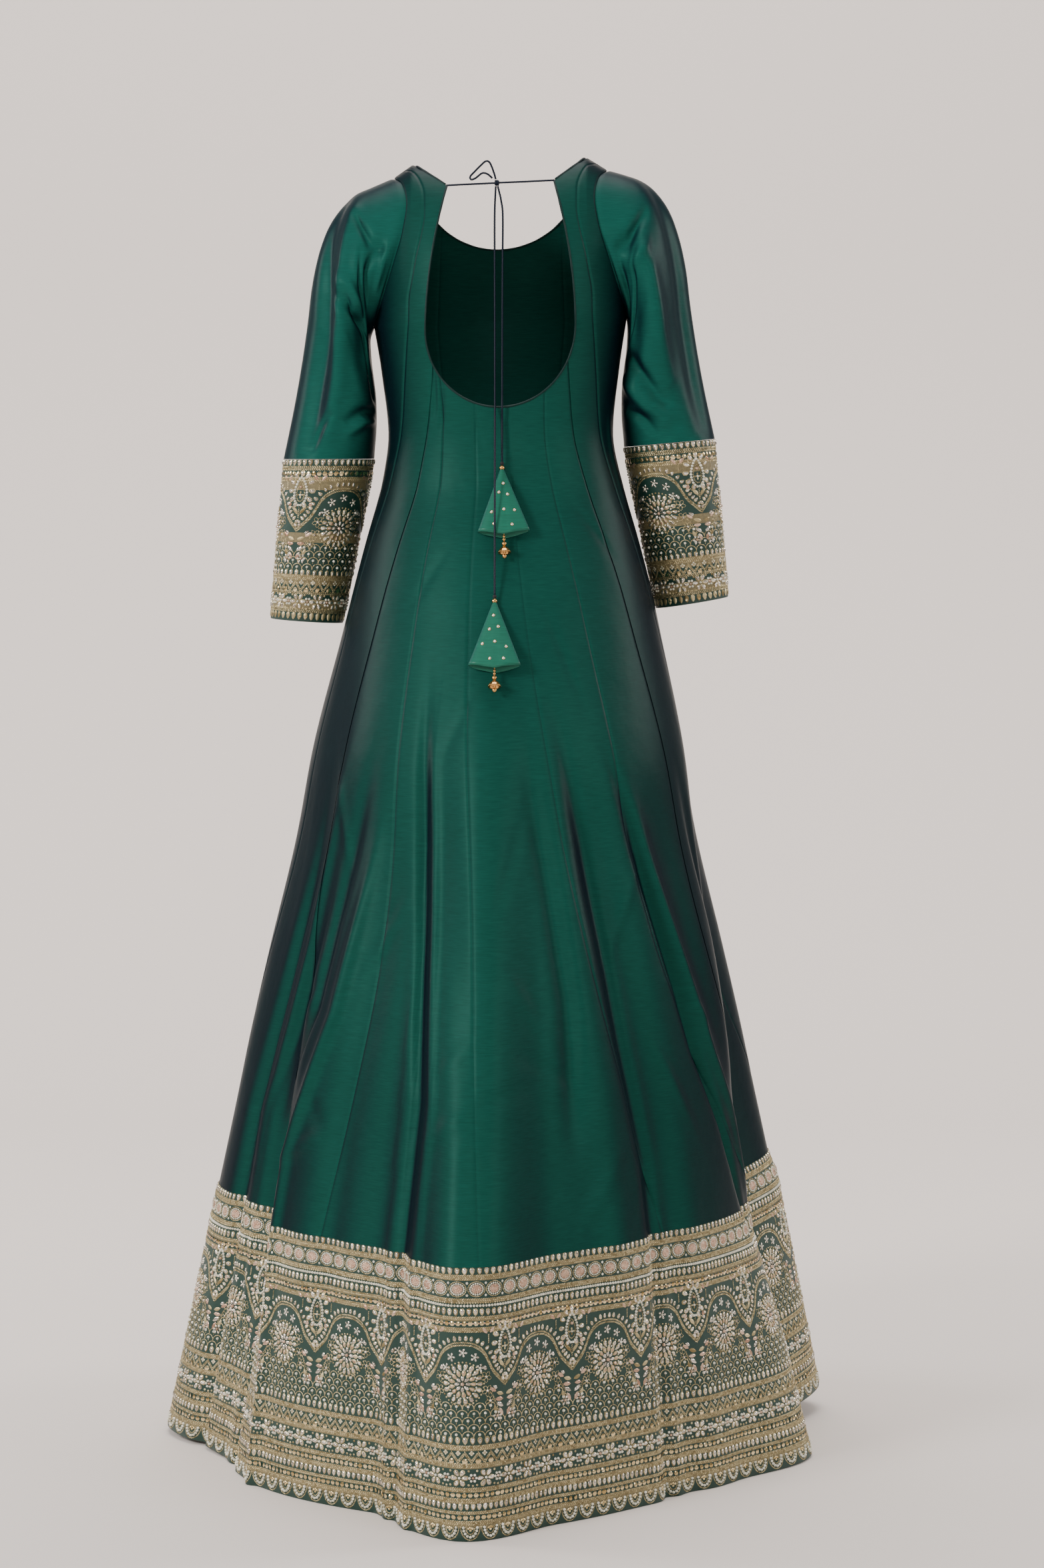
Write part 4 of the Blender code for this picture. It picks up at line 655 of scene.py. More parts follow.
def silk_colour(material, shader, facing_colour, turned_shade_colour, shade_colour):
    """Shot silk: one colour lengthways and another across, which shows where the cloth turns away; the darker turned
    colour also paints shade onto the cloth where it turns from view.
    """
    where = node(material, "ShaderNodeTexCoord", {}, {})
    turn = node(material, "ShaderNodeLayerWeight", {"Blend": 0.50}, {})
    share = node(
        material,
        "ShaderNodeMapRange",
        {"interpolation_type": "SMOOTHSTEP", "From Min": 0.02, "From Max": 0.62, "To Min": 0.0, "To Max": 1.0},
        {"Value": turn.outputs["Facing"]},
    )
    # Painted shade: this mix turns the silk towards the darker turned colour where the cloth turns away from view,
    # partly the shot silk's own colour change.
    shot_and_painted_shade = node(
        material,
        "ShaderNodeMix",
        {"data_type": "RGBA", 6: linear(facing_colour), 7: linear(turned_shade_colour)},
        {0: share.outputs[0]},
    )
    cloud = node(material, "ShaderNodeTexNoise", {"Scale": 4.0, "Detail": 3.0}, {"Vector": where.outputs["Object"]})
    drift = node(
        material,
        "ShaderNodeMapRange",
        {"From Min": 0.35, "From Max": 0.75, "To Min": 0.0, "To Max": 0.28},
        {"Value": cloud.outputs[0]},
    )
    tone = node(
        material,
        "ShaderNodeMix",
        {"data_type": "RGBA", 7: linear(shade_colour)},
        {0: drift.outputs[0], 6: shot_and_painted_shade.outputs[2]},
    )
    stretch = node(
        material, "ShaderNodeMapping", {"Scale": (70.0, 70.0, 1100.0)}, {"Vector": where.outputs["Object"]}
    )
    slub = node(material, "ShaderNodeTexNoise", {"Scale": 1.0, "Detail": 4.0}, {"Vector": stretch.outputs[0]})
    thread = node(
        material,
        "ShaderNodeMapRange",
        {"From Min": 0.25, "From Max": 0.75, "To Min": 0.84, "To Max": 1.16},
        {"Value": slub.outputs[0]},
    )
    woven = node(
        material,
        "ShaderNodeMix",
        {"data_type": "RGBA", "blend_type": "MULTIPLY", 0: 1.0},
        {6: tone.outputs[2], 7: thread.outputs[0]},
    )
    material.node_tree.links.new(woven.outputs[2], shader.inputs["Base Color"])
    raised = node(material, "ShaderNodeBump", {"Strength": 0.14, "Distance": 0.0004}, {"Height": slub.outputs[0]})
    wrinkle = node(
        material, "ShaderNodeTexNoise", {"Scale": 22.0, "Detail": 3.0}, {"Vector": where.outputs["Object"]}
    )
    crumple = node(
        material,
        "ShaderNodeBump",
        {"Strength": 0.22, "Distance": 0.004},
        {"Height": wrinkle.outputs[0], "Normal": raised.outputs[0]},
    )
    material.node_tree.links.new(crumple.outputs[0], shader.inputs["Normal"])


# The body's silk: its near-black navy turned colour paints shade where the skirt and bodice turn away from view.
silk_colour(silk, silk_shader, "#134A40", "#08131C", "#0A2E2A")

panel_points = {}
lower_levels = np.linspace(0, 1, LOWER)
for panel in SIDE_PANELS:
    for hand, suffix in ((1, "right"), (-1, "left")):
        angle, height = lower_rows(panel[suffix], level_top, lower_levels)
        rows = np.concatenate([polar_point(angle, height), upper_rows(panel, hand)])
        seams = [panel["first"] != "cut-out", True]
        panel_points[f"{panel['panel']}_{suffix}"] = (rows, seams if hand > 0 else seams[::-1])
angle, height = lower_rows(7, level_top, lower_levels)
chest_angle = np.linspace(SEAMS[7]["chest"], SEAMS[8]["chest"], ACROSS)
across = np.linspace(1, -1, ACROSS)
neck_rows = np.linspace(0, NECKLINE_ROW, 13)[1:, None]
neck_top = neckline_height(across * FRONT_SEAM_NECK_X)
front_rows = np.concatenate(
    [
        polar_point(angle, height),
        polar_point(np.broadcast_to(chest_angle, (BY_CHEST, ACROSS)), chest_heights[:, None]),
        shoulder_point(
            across * np.interp(neck_rows, table_rows, front_x),
            ARMPIT_HEIGHT + (neck_top - ARMPIT_HEIGHT) * neck_rows / NECKLINE_ROW,
            1,
        ),
    ]
)
panel_points["front_panel_centre"] = (front_rows, [True, True])
for number in range(1, 6):
    angle, height = lower_rows(10 + number, cutout_height, lower_levels)
    panel_points[f"back_panel_{number}"] = (polar_point(angle, height), [True, True])


PANEL_RING = [
    "back_shoulder_panel_right",
    "side_panel_right",
    "front_panel_right",
    "front_panel_centre",
    "front_panel_left",
    "side_panel_left",
    "back_shoulder_panel_left",
    "back_panel_1",
    "back_panel_2",
    "back_panel_3",
    "back_panel_4",
    "back_panel_5",
]
panels = {}
for name, (rows, seams) in panel_points.items():
    points = even_columns(worn(rows))
    points = points - seam_sink(points, seams)[..., None] * grid_normals(points)
    count, across_count = points.shape[:2]
    made = add_mesh(name + "_cloth", points.reshape(-1, 3), grid_faces(count, across_count), [silk])
    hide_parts(name)
    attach(made, "root")
    place = PANEL_RING.index(name)
    panels[name] = made


# The hem border's cloth: twelve lengths of the same silk, 290 mm deep, one under each kali, which carry the
# embroidery. Between the bands of gold thread the silk shows, and under them the thread's own ground.
BORDER_DEEP = 295.0
BORDER_ROWS = 37
RING_COLUMNS = 2160
FIRST_ANGLE = -37.0

ring_angle = FIRST_ANGLE + np.linspace(0, 360, RING_COLUMNS + 1)
ring_down = np.linspace(0, BORDER_DEEP, BORDER_ROWS)
ring_height = fold_value(ring_angle, "lift") + BORDER_HEIGHT * (1 - ring_down[:, None] / BORDER_DEEP)
ring_height[0] = border_height(ring_angle) - SEAM_GAP / 2
ring_points = worn(polar_point(ring_angle, ring_height))
half_way = ring_points[BORDER_ROWS // 2]
ring_length = 1000 * np.concatenate([[0], np.cumsum(np.linalg.norm(np.diff(half_way, axis=0), axis=1))])
RING_WIDTH = float(ring_length[-1])


def surface_normals(points):
    """Outward normals of a ring's grid, whose rows go down and whose last column is its first one again."""
    down = np.gradient(points, axis=0)
    wide = np.concatenate([points[:, -2:-1], points, points[:, 1:2]], axis=1)
    around = wide[:, 2:] - wide[:, :-2]
    normal = np.cross(down, around)
    return normal / np.linalg.norm(normal, axis=-1, keepdims=True)


ring_normals = surface_normals(ring_points)

BANDS = [
    {"from": 7.0, "to": 13.0},
    {"from": 33.0, "to": 37.0},
    {"from": 52.5, "to": 56.5},
    {"from": 64.0, "to": 69.0},
    {"from": 190.5, "to": 197.0},
    {"from": 210.0, "to": 215.5},
    {"from": 237.0, "to": 241.5},
    {"from": 248.5, "to": 254.0},
    {"from": 262.5, "to": 266.0},
    {"from": 272.0, "to": 279.0},
]

border_silk, border_shader = shader_of("embroidery_ground_taffeta")
border_shader.inputs["Roughness"].default_value = 0.50
border_shader.inputs["Specular IOR Level"].default_value = 0.5
border_shader.inputs["Sheen Weight"].default_value = 0.08
ground_uv = node(border_silk, "ShaderNodeUVMap", {"uv_map": "strip"}, {})
ground_part = node(border_silk, "ShaderNodeSeparateXYZ", {}, {"Vector": ground_uv.outputs[0]})
ground_bands = node(border_silk, "ShaderNodeValToRGB", {}, {"Fac": ground_part.outputs["Y"]})
ramp = ground_bands.color_ramp
ramp.interpolation = "CONSTANT"
ramp.elements[0].color = (0, 0, 0, 1)
ramp.elements[1].position = BANDS[0]["from"] / BORDER_DEEP
ramp.elements[1].color = (1, 1, 1, 1)
ramp.elements.new(BANDS[0]["to"] / BORDER_DEEP).color = (0, 0, 0, 1)
for row in BANDS[1:]:
    ramp.elements.new(row["from"] / BORDER_DEEP).color = (1, 1, 1, 1)
    ramp.elements.new(row["to"] / BORDER_DEEP).color = (0, 0, 0, 1)
ground_place = node(border_silk, "ShaderNodeTexCoord", {}, {})
ground_speck = node(
    border_silk, "ShaderNodeTexNoise", {"Scale": 420.0, "Detail": 2.0}, {"Vector": ground_place.outputs["Object"]}
)
ground_thread = node(
    border_silk,
    "ShaderNodeMix",
    {"data_type": "RGBA", 6: linear("#4C4630"), 7: linear("#94865E")},
    {0: ground_speck.outputs[0]},
)
ground_tone = node(
    border_silk,
    "ShaderNodeMix",
    {"data_type": "RGBA", 6: linear("#0C342B")},
    {0: ground_bands.outputs[0], 7: ground_thread.outputs[2]},
)
border_silk.node_tree.links.new(ground_tone.outputs[2], border_shader.inputs["Base Color"])
ground_bump = node(
    border_silk, "ShaderNodeBump", {"Strength": 0.35, "Distance": 0.0006}, {"Height": ground_speck.outputs[0]}
)
border_silk.node_tree.links.new(ground_bump.outputs[0], border_shader.inputs["Normal"])


def sample_ring(grid, width, deep, along, down):
    """Reads a ring's grid at distances round it and down it, in millimetres."""
    rows, columns = grid.shape[0], grid.shape[1] - 1
    u = (along % width) / width * columns
    v = np.clip(down / deep, 0, 1) * (rows - 1)
    c = np.minimum(u.astype(int), columns - 1)
    r = np.minimum(v.astype(int), rows - 2)
    fu, fv = (u - c)[..., None], (v - r)[..., None]
    upper = grid[r, c] * (1 - fu) + grid[r, c + 1] * fu
    lower = grid[r + 1, c] * (1 - fu) + grid[r + 1, c + 1] * fu
    return upper * (1 - fv) + lower * fv


# The grid's columns again, spaced evenly by length instead of by angle, as the embroidery needs them.
even_length = np.linspace(0, RING_WIDTH, RING_COLUMNS + 1)
even_angle = np.interp(even_length, ring_length, ring_angle)
even_height = fold_value(even_angle, "lift") + BORDER_HEIGHT * (1 - ring_down[:, None] / BORDER_DEEP)
even_points = worn(polar_point(even_angle, even_height))
even_normals = surface_normals(even_points)


def strip_uv(mesh, along, down, deep):
    """Gives a cloth its distances round and down the border, as the coordinates of its bands."""
    layer = mesh.uv_layers.new(name="strip")
    corner = np.empty(len(mesh.loops), int)
    mesh.loops.foreach_get("vertex_index", corner)
    place = np.stack([along.ravel() / deep, down.ravel() / deep], axis=-1)[corner]
    layer.data.foreach_set("uv", place.astype(np.float32).ravel())


border_spans = {}
for name in panel_points:
    if name.startswith("back_panel"):
        index = 10 + int(name[-1])
    elif name == "front_panel_centre":
        index = 7
    else:
        index = next(p for p in SIDE_PANELS if name.startswith(p["panel"]))[name.rsplit("_", 1)[1]]
    ends = lower_rows(index, level_top, [0.0], across=2)[0][0]
    first, last = [float(np.interp((a - FIRST_ANGLE) % 360 + FIRST_ANGLE, ring_angle, ring_length)) for a in ends]
    last = last if last > first else last + RING_WIDTH
    border_spans[name.replace("panel", "border")] = (first, last)

TURNED_EDGE = [{"past": 0.6, "out": -0.6}, {"past": -0.6, "out": -1.3}, {"past": -11.0, "out": -1.5}]


def turned_edge(points, normals, width, deep, along):
    """The rows of a cloth's lower edge, turned in to its inner side."""
    edge_normals = sample_ring(normals, width, deep, along, np.full(along.shape, float(deep)))
    rows = []
    for row in TURNED_EDGE:
        place = np.full(along.shape, deep + min(row["past"], 0.0))
        rows.append(sample_ring(points, width, deep, along, place) + edge_normals * row["out"] / 1000)
        rows[-1][:, 2] -= max(row["past"], 0.0) / 1000
    return np.array(rows)


for name, (first, last) in border_spans.items():
    along = np.broadcast_to(np.linspace(first - 0.05, last + 0.05, 61), (BORDER_ROWS, 61))
    down = np.broadcast_to(ring_down[:, None], along.shape)
    points = sample_ring(even_points, RING_WIDTH, BORDER_DEEP, along, down)
    points = np.concatenate([points, turned_edge(even_points, even_normals, RING_WIDTH, BORDER_DEEP, along[0])])
    along = np.broadcast_to(along[:1], points.shape[:2])
    down = np.concatenate([down, np.full((len(TURNED_EDGE), 61), float(BORDER_DEEP))])
    made = add_mesh(name + "_cloth", points.reshape(-1, 3), grid_faces(len(points), 61), [border_silk])
    strip_uv(made.data, along, down, BORDER_DEEP)
    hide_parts(name)
    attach(made, "root")


# The embroidery, worked by hand in gilt thread with pearls, foil-backed drops and sequins couched between its
# cords. It is laid out flat in millimetres, round the hem and down from the border's top edge, then laid on
# the cloth of each length. Every stitch, pearl and sequin is a small raised form of its own.
GOLD, SILVER, PEARL, COPPER, SEQUIN = range(5)
LIFT = 0.12


def stitch_metal(name, colour, second, roughness, metallic):
    """A metal thread or foil, a little uneven in tone from stitch to stitch."""
    material, shader = shader_of(name)
    shader.inputs["Metallic"].default_value = metallic
    shader.inputs["Roughness"].default_value = roughness
    tone = node(material, "ShaderNodeAttribute", {"attribute_name": "tone"}, {})
    mix = node(
        material,
        "ShaderNodeMix",
        {"data_type": "RGBA", 6: linear(colour), 7: linear(second)},
        {0: tone.outputs["Fac"]},
    )
    material.node_tree.links.new(mix.outputs[2], shader.inputs["Base Color"])
    return material, shader


gilt_thread, gilt_shader = stitch_metal("couched_gilt_thread", "#84734E", "#DACA9E", 0.46, 0.72)
foil_drop, foil_shader = stitch_metal("foil_backed_glass", "#A99E90", "#F1E9DC", 0.16, 0.85)
seed_pearl, pearl_shader = stitch_metal("seed_pearl", "#C9C5AF", "#F2EFDF", 0.28, 0.0)
pearl_shader.inputs["Coat Weight"].default_value = 0.6
pearl_shader.inputs["Coat Roughness"].default_value = 0.12
copper_foil, copper_shader = stitch_metal("rose_foil", "#B08A72", "#DDBFA8", 0.30, 0.75)
sequin_foil, sequin_shader = stitch_metal("gilt_sequin", "#B99F6C", "#F0DDAF", 0.20, 0.95)
STITCH_MATERIALS = [gilt_thread, foil_drop, seed_pearl, copper_foil, sequin_foil]


def ring_outline(count, across, along=None, start=0.0):
    turn = start + np.arange(count) * 2 * math.pi / count
    return np.stack([across * np.cos(turn), (along or across) * np.sin(turn)], axis=-1)


def drop_outline(width, length, count=7):
    """A drop whose point is up, which is towards the border's top edge."""
    turn = np.arange(count) * 2 * math.pi / count
    taper = 1 - 0.26 * (1 + np.sin(turn)) / 2 - 0.22 * np.clip(np.sin(turn), 0, 1)
    return np.stack([width / 2 * np.cos(turn) * taper, -length / 2 * np.sin(turn)], axis=-1)


def leaf_outline(width, length):
    return np.array(
        [
            [0, -length / 2],
            [width * 0.42, -length * 0.22],
            [width * 0.5, length * 0.08],
            [width * 0.3, length * 0.34],
            [0, length / 2],
            [-width * 0.3, length * 0.34],
            [-width * 0.5, length * 0.08],
            [-width * 0.42, -length * 0.22],
        ]
    )


def dome(outline, height, inner=0.58):
    """A raised form over an outline: its edge on the cloth, a shoulder, and its top."""
    count = len(outline)
    middle = outline.mean(axis=0)
    shoulder = middle + (outline - middle) * inner
    points = np.concatenate(
        [
            np.column_stack([outline, np.zeros(count)]),
            np.column_stack([shoulder, np.full(count, 0.82 * height)]),
            [[*middle, height]],
        ]
    )
    faces = []
    for i in range(count):
        j = (i + 1) % count
        faces += [(i, j, count + j), (i, count + j, count + i), (count + i, count + j, 2 * count)]
    return points, np.array(faces)


def tent(outline, height):
    """A small raised form with one top point, for what is too small for a shoulder to show."""
    count = len(outline)
    points = np.concatenate([np.column_stack([outline, np.zeros(count)]), [[*outline.mean(axis=0), height]]])
    faces = [(i, (i + 1) % count, count) for i in range(count)]
    return points, np.array(faces)


GRAIN = tent(ring_outline(4, 1.85, 0.68), 0.80)
SMALL_PEARL = dome(ring_outline(5, 1.65), 1.8, 0.7)
TINY_PEARL = tent(ring_outline(5, 1.2), 1.3)
SEQUIN_DISC = dome(ring_outline(6, 2.7), 0.5, 0.45)
DROP = dome(drop_outline(5.8, 7.8), 1.5)
DROP_EDGE = dome(drop_outline(7.6, 9.6), 0.8, 0.8)
PETAL = dome(drop_outline(4.8, 6.4), 1.2)
LEAF = dome(leaf_outline(4.6, 10.0), 1.1)


class Embroidery:
    """Stitches laid out flat round a strip of a given width."""

    def __init__(self, width, seed):
        self.width = width
        self.chance = np.random.default_rng(seed)
        self.points, self.faces, self.kinds, self.tones, self.centres = [], [], [], [], []

    def put(self, form, kind, places, turns=0.0, sizes=1.0, tilt=0.0):
        """Repeats a form at places, each turned and sized, with a small uneven tilt."""
        places = np.asarray(places, float).reshape(-1, 2)
        count = len(places)
        turns = np.broadcast_to(np.asarray(turns, float), count) + self.chance.normal(0, 0.05, count)
        sizes = np.broadcast_to(np.asarray(sizes, float), count) * self.chance.normal(1, 0.035, count)
        template, faces = form
        flat = template[None, :, :2] * sizes[:, None, None]
        cos, sin = np.cos(turns)[:, None], np.sin(turns)[:, None]
        x = flat[..., 0] * cos - flat[..., 1] * sin
        y = flat[..., 0] * sin + flat[..., 1] * cos
        lean = self.chance.normal(0, 1, (count, 2)) * tilt
        z = template[None, :, 2] * sizes[:, None] + LIFT + x * lean[:, :1] + y * lean[:, 1:]
        z += np.abs(lean).sum(axis=1, keepdims=True) * 2.0 * (tilt > 0)
        x = x + places[:, :1]
        y = y + places[:, 1:]
        self.points.append(np.stack([x, y, z], axis=-1))
        self.faces.append(faces)
        self.kinds.append(kind)
        self.tones.append(np.clip(self.chance.normal(0.5, 0.28, count), 0, 1))
        self.centres.append(places[:, 0])

    def row(self, form, kind, pitch, down, turn=0.0, size=1.0, tilt=0.0, shift=0.0):
        count = max(3, round(self.width / pitch))
        along = (np.arange(count) + 0.5 + shift) * self.width / count
        self.put(form, kind, np.stack([along, np.full(count, down)], axis=-1), turn, size, tilt)

    def motif(self, form, kind, centres, locals_, turns=0.0, sizes=1.0, tilt=0.0):
        """Repeats a few local places round each of the motif's centres."""
        locals_ = np.asarray(locals_, float).reshape(-1, 2)
        centres = np.asarray(centres, float).reshape(-1, 2)
        turns = np.tile(np.broadcast_to(np.asarray(turns, float), len(locals_)), len(centres))
        sizes = np.tile(np.broadcast_to(np.asarray(sizes, float), len(locals_)), len(centres))
        self.put(form, kind, (centres[:, None] + locals_[None]).reshape(-1, 2), turns, sizes, tilt)

    def cord(self, centres, path, pitch=2.3, kind=GOLD, twist=0.6, size=1.0, form=GRAIN):
        """A couched cord: short slanting stitches along a path round each centre."""
        places, turns = along_path(path, pitch)
        self.motif(form, kind, centres, places, turns + twist, size)

    def braid(self, down, rows=2, gap=1.9, size=1.0):
        for line in range(rows):
            slant = 0.6 if line % 2 else -0.6
            self.row(GRAIN, GOLD, 2.5, down + (line - (rows - 1) / 2) * gap, slant, size)


def along_path(path, pitch):
    """Places about one pitch apart along a path, and the path's direction at each."""
    path = np.asarray(path, float)
    length = np.concatenate([[0], np.cumsum(np.linalg.norm(np.diff(path, axis=0), axis=1))])
    count = max(1, round(length[-1] / pitch))
    middle = (np.arange(count) + 0.5) * length[-1] / count
    places = np.stack([np.interp(middle, length, path[:, axis]) for axis in range(2)], axis=-1)
    step = np.stack([np.interp(middle + 0.2, length, path[:, axis]) for axis in range(2)], axis=-1) - places
    return places, np.arctan2(step[:, 1], step[:, 0])


def round_places(count, distance, start=0.0, squash=1.0):
    """Places round a circle, with the turn that points a drop's tip inwards at each."""
    turn = start + np.arange(count) * 2 * math.pi / count
    return np.stack([distance * np.cos(turn), squash * distance * np.sin(turn)], axis=-1), turn - math.pi / 2


# One side of an arch, from its top: shares of its half width, and of its height there.
ARCH_ACROSS = [0.0, 0.25, 0.50, 0.68, 0.80, 0.91, 1.0]
ARCH_FALL = [0.0, 0.03, 0.16, 0.36, 0.62, 0.86, 1.0]


def arch_path(pitch, peak, valley):
    """A bell-shaped arch whose sides come down to a corner, then slant to a point at each valley."""
    corner = (pitch / 2 - 13.5, valley - 13.5)
    across = np.linspace(0, 1, 60) * corner[0]
    fall = smooth(np.array(ARCH_ACROSS) * corner[0], np.array(ARCH_FALL), across)
    half = np.stack([across, peak + (corner[1] - peak) * fall], axis=-1)
    half = np.concatenate([half, np.linspace(corner, [pitch / 2, valley], 9)[1:]])
    return np.concatenate([(half * [-1, 1])[::-1], half[1:]])


def flower(work, centres, at, petals, distance, petal_size, kind, middle_kind):
    """A small flower of drop petals round a bead."""
    places, turns = round_places(petals, distance)
    for local in np.asarray(at, float).reshape(-1, 2):
        work.motif(PETAL, kind, centres, places + local, turns, petal_size)
        work.motif(SMALL_PEARL, middle_kind, centres, [local], 0.0, 0.9)


def wide_field(work, count, peak, valley, foot):
    """The tall field of arches: pendants hang in the valleys, and a round flower fills each arch."""
    pitch = work.width / count
    arches = np.stack([(np.arange(count) + 0.5) * pitch, np.zeros(count)], axis=-1)
    valleys = np.stack([np.arange(count) * pitch, np.zeros(count)], axis=-1)
    path = arch_path(pitch, peak, valley)
    work.cord(arches, path + [0, -1.6], 2.3, GOLD, 0.6, 1.05)
    work.cord(arches, path + [0, 1.2], 2.3, GOLD, -0.6, 1.05)
    outside, turns = along_path(path, 5.6)
    normal = np.stack([np.sin(turns), -np.cos(turns)], axis=-1)
    work.motif(DROP_EDGE, GOLD, arches, outside + normal * 6.4, turns, 0.62)
    work.motif(DROP, SILVER, arches, outside + normal * 6.4, turns, 0.66, 0.05)
    pendant = valley - 45.0
    loop = drop_outline(18.0, 32.0, 40) + [0, pendant]
    work.cord(valleys, np.concatenate([loop, loop[:1]]), 3.3, PEARL, 0.0, 1.0, SMALL_PEARL)
    inner = drop_outline(11.5, 21.0, 30) + [0, pendant + 1]
    work.cord(valleys, np.concatenate([inner, inner[:1]]), 2.2, GOLD, 0.6, 0.8)
    flower(work, valleys, [[0, pendant + 4]], 4, 2.6, 0.50, GOLD, PEARL)
    work.motif(SMALL_PEARL, COPPER, valleys, [[0, pendant - 5]], 0.0, 1.1)
    petals = np.radians(np.linspace(-245, 65, 11))
    around = np.stack([13.4 * np.cos(petals), 18.6 * np.sin(petals) - 1.5], axis=-1) + [0, pendant]
    work.motif(DROP_EDGE, GOLD, valleys, around, petals - math.pi / 2, 0.88)
    work.motif(DROP, SILVER, valleys, around, petals - math.pi / 2, 0.92, 0.06)
    stalks = [[-13.5, pendant + 15], [13.5, pendant + 15]]
    work.motif(SEQUIN_DISC, COPPER, valleys, stalks, 0.0, 0.95)
    for side in (-1, 1):
        work.cord(valleys, [[side * 11, pendant + 17], [side * 6, pendant + 22], [0, pendant + 28]], 2.3, GOLD, 0.6, 0.75)
    work.motif(LEAF, GOLD, valleys, [[-4.6, pendant + 22], [4.6, pendant + 22]], [-0.8, 0.8], 0.95)
    work.cord(valleys, [[0, pendant + 18], [0, pendant + 31]], 2.3, GOLD, 0.6, 0.75)
    for side in (-1, 1):
        sprig = side * 21.0
        tops = [[sprig - 4.5, pendant - 15], [sprig + 4.5, pendant - 15.5]]
        work.motif(LEAF, COPPER, valleys, tops, [-0.75, 0.75], 0.82)
        work.cord(valleys, [[sprig, pendant - 11], [sprig, pendant - 1]], 2.2, GOLD, 0.6, 0.75)
    centre = valley - 3.0
    for kind, form, number, distance, size in (
        (SILVER, DROP, 8, 6.0, 0.78),
        (GOLD, DROP_EDGE, 13, 11.6, 0.74),
        (COPPER, PETAL, 13, 11.6, 0.84),
        (PEARL, TINY_PEARL, 26, 15.3, 0.9),
        (GOLD, DROP_EDGE, 18, 18.6, 0.78),
        (SILVER, DROP, 18, 18.6, 0.86),
        (GOLD, TINY_PEARL, 36, 23.4, 0.9),
    ):
        places, turns = round_places(number, distance)
        work.motif(form, kind, arches, places + [0, centre], turns, size, 0.04)
    work.motif(SMALL_PEARL, COPPER, arches, [[0, centre]], 0.0, 1.4)
    over = [[-19.0, peak + 26.0], [-13.0, peak + 14.5], [0.0, peak + 9.5], [13.0, peak + 14.5], [19.0, peak + 26.0]]
    flower(work, arches, over, 5, 3.0, 0.58, SILVER, PEARL)
    beside = [[-26.0, centre - 7], [26.0, centre - 7], [-27.5, centre + 8], [27.5, centre + 8]]
    wire_flower(work, arches, beside, 5, 4.6)
    ends = [[-24.5, centre - 17], [24.5, centre - 17], [-37.0, centre + 5], [37.0, centre + 5]]
    work.motif(PETAL, SILVER, arches, ends, [0.5, -0.5, 0.9, -0.9], 0.95, 0.05)
    for side in (-1, 1):
        for reach, down, turn, kind, size in (
            (6.5, 9.5, 1.25, GOLD, 1.0),
            (7.5, 15.5, 1.55, COPPER, 1.0),
            (6.5, 21.5, 0.95, SILVER, 0.95),
            (12.5, 25.5, 0.35, GOLD, 0.9),
            (5.0, 29.5, 0.45, COPPER, 0.95),
            (15.5, 4.5, 1.0, COPPER, 0.9),
        ):
            work.motif(LEAF, kind, valleys, [[side * reach, valley + down]], side * turn, size)
        spray = [[side * 9, valley + 34], [side * 10, valley + 22], [side * 16, valley + 10], [side * 23, valley + 3]]
        work.cord(valleys, spray, 2.3, GOLD, 0.6, 0.75)
        flower(work, valleys, [[side * 10.0, valley + 33.0]], 6, 3.9, 0.66, SILVER, COPPER)
        wire_flower(work, valleys, [[side * 19.0, valley + 16.0]], 5, 4.2)
    scale_field(work, pitch, arches, centre + 23.0, foot)


def wire_flower(work, centres, at, petals, reach):
    """A small open flower whose petals are loops of couched gilt thread."""
    bow = np.linspace(0, 2 * math.pi, 9)
    for local in at:
        for turn in np.arange(petals) * 2 * math.pi / petals:
            loop = np.stack([reach * 0.42 * np.sin(bow), reach * 0.55 * (1 - np.cos(bow)) + 1.0], axis=-1)
            spin = np.array([[math.cos(turn), math.sin(turn)], [-math.sin(turn), math.cos(turn)]])
            work.cord(centres, loop @ spin + local, 1.9, GOLD, 0.0, 0.62)
        work.motif(SMALL_PEARL, SILVER, centres, [local], 0.0, 1.0)


def scale_field(work, pitch, arches, top, foot):
    """Rows of small fish-scale arches of gilt thread, each over a pearl."""
    step = 7.6
    wide = max(1, round(pitch / 12.4))
    gap = pitch / wide
    bow = np.linspace(-math.pi, 0, 13)
    arc = np.stack([gap / 2 * np.cos(bow), 6.6 * np.sin(bow) + 2.8], axis=-1)
    for r in range(int((foot - top) / step) + 1):
        down = foot - 3.4 - r * step
        reach = pitch / 2 - max(0, r - 1) * 5.5
        for i in range(wide):
            x = -pitch / 2 + gap * (i + 0.5 + 0.5 * (r % 2))
            if abs(x) > reach:
                continue
            work.cord(arches + [x, down], arc, 2.0, GOLD, 0.0, 0.86)
            work.motif(SMALL_PEARL, PEARL, arches, [[x, down]], 0.0, 1.05)
            work.motif(GRAIN, GOLD, arches, [[x, down + 3.0]], math.pi / 2, 0.7)


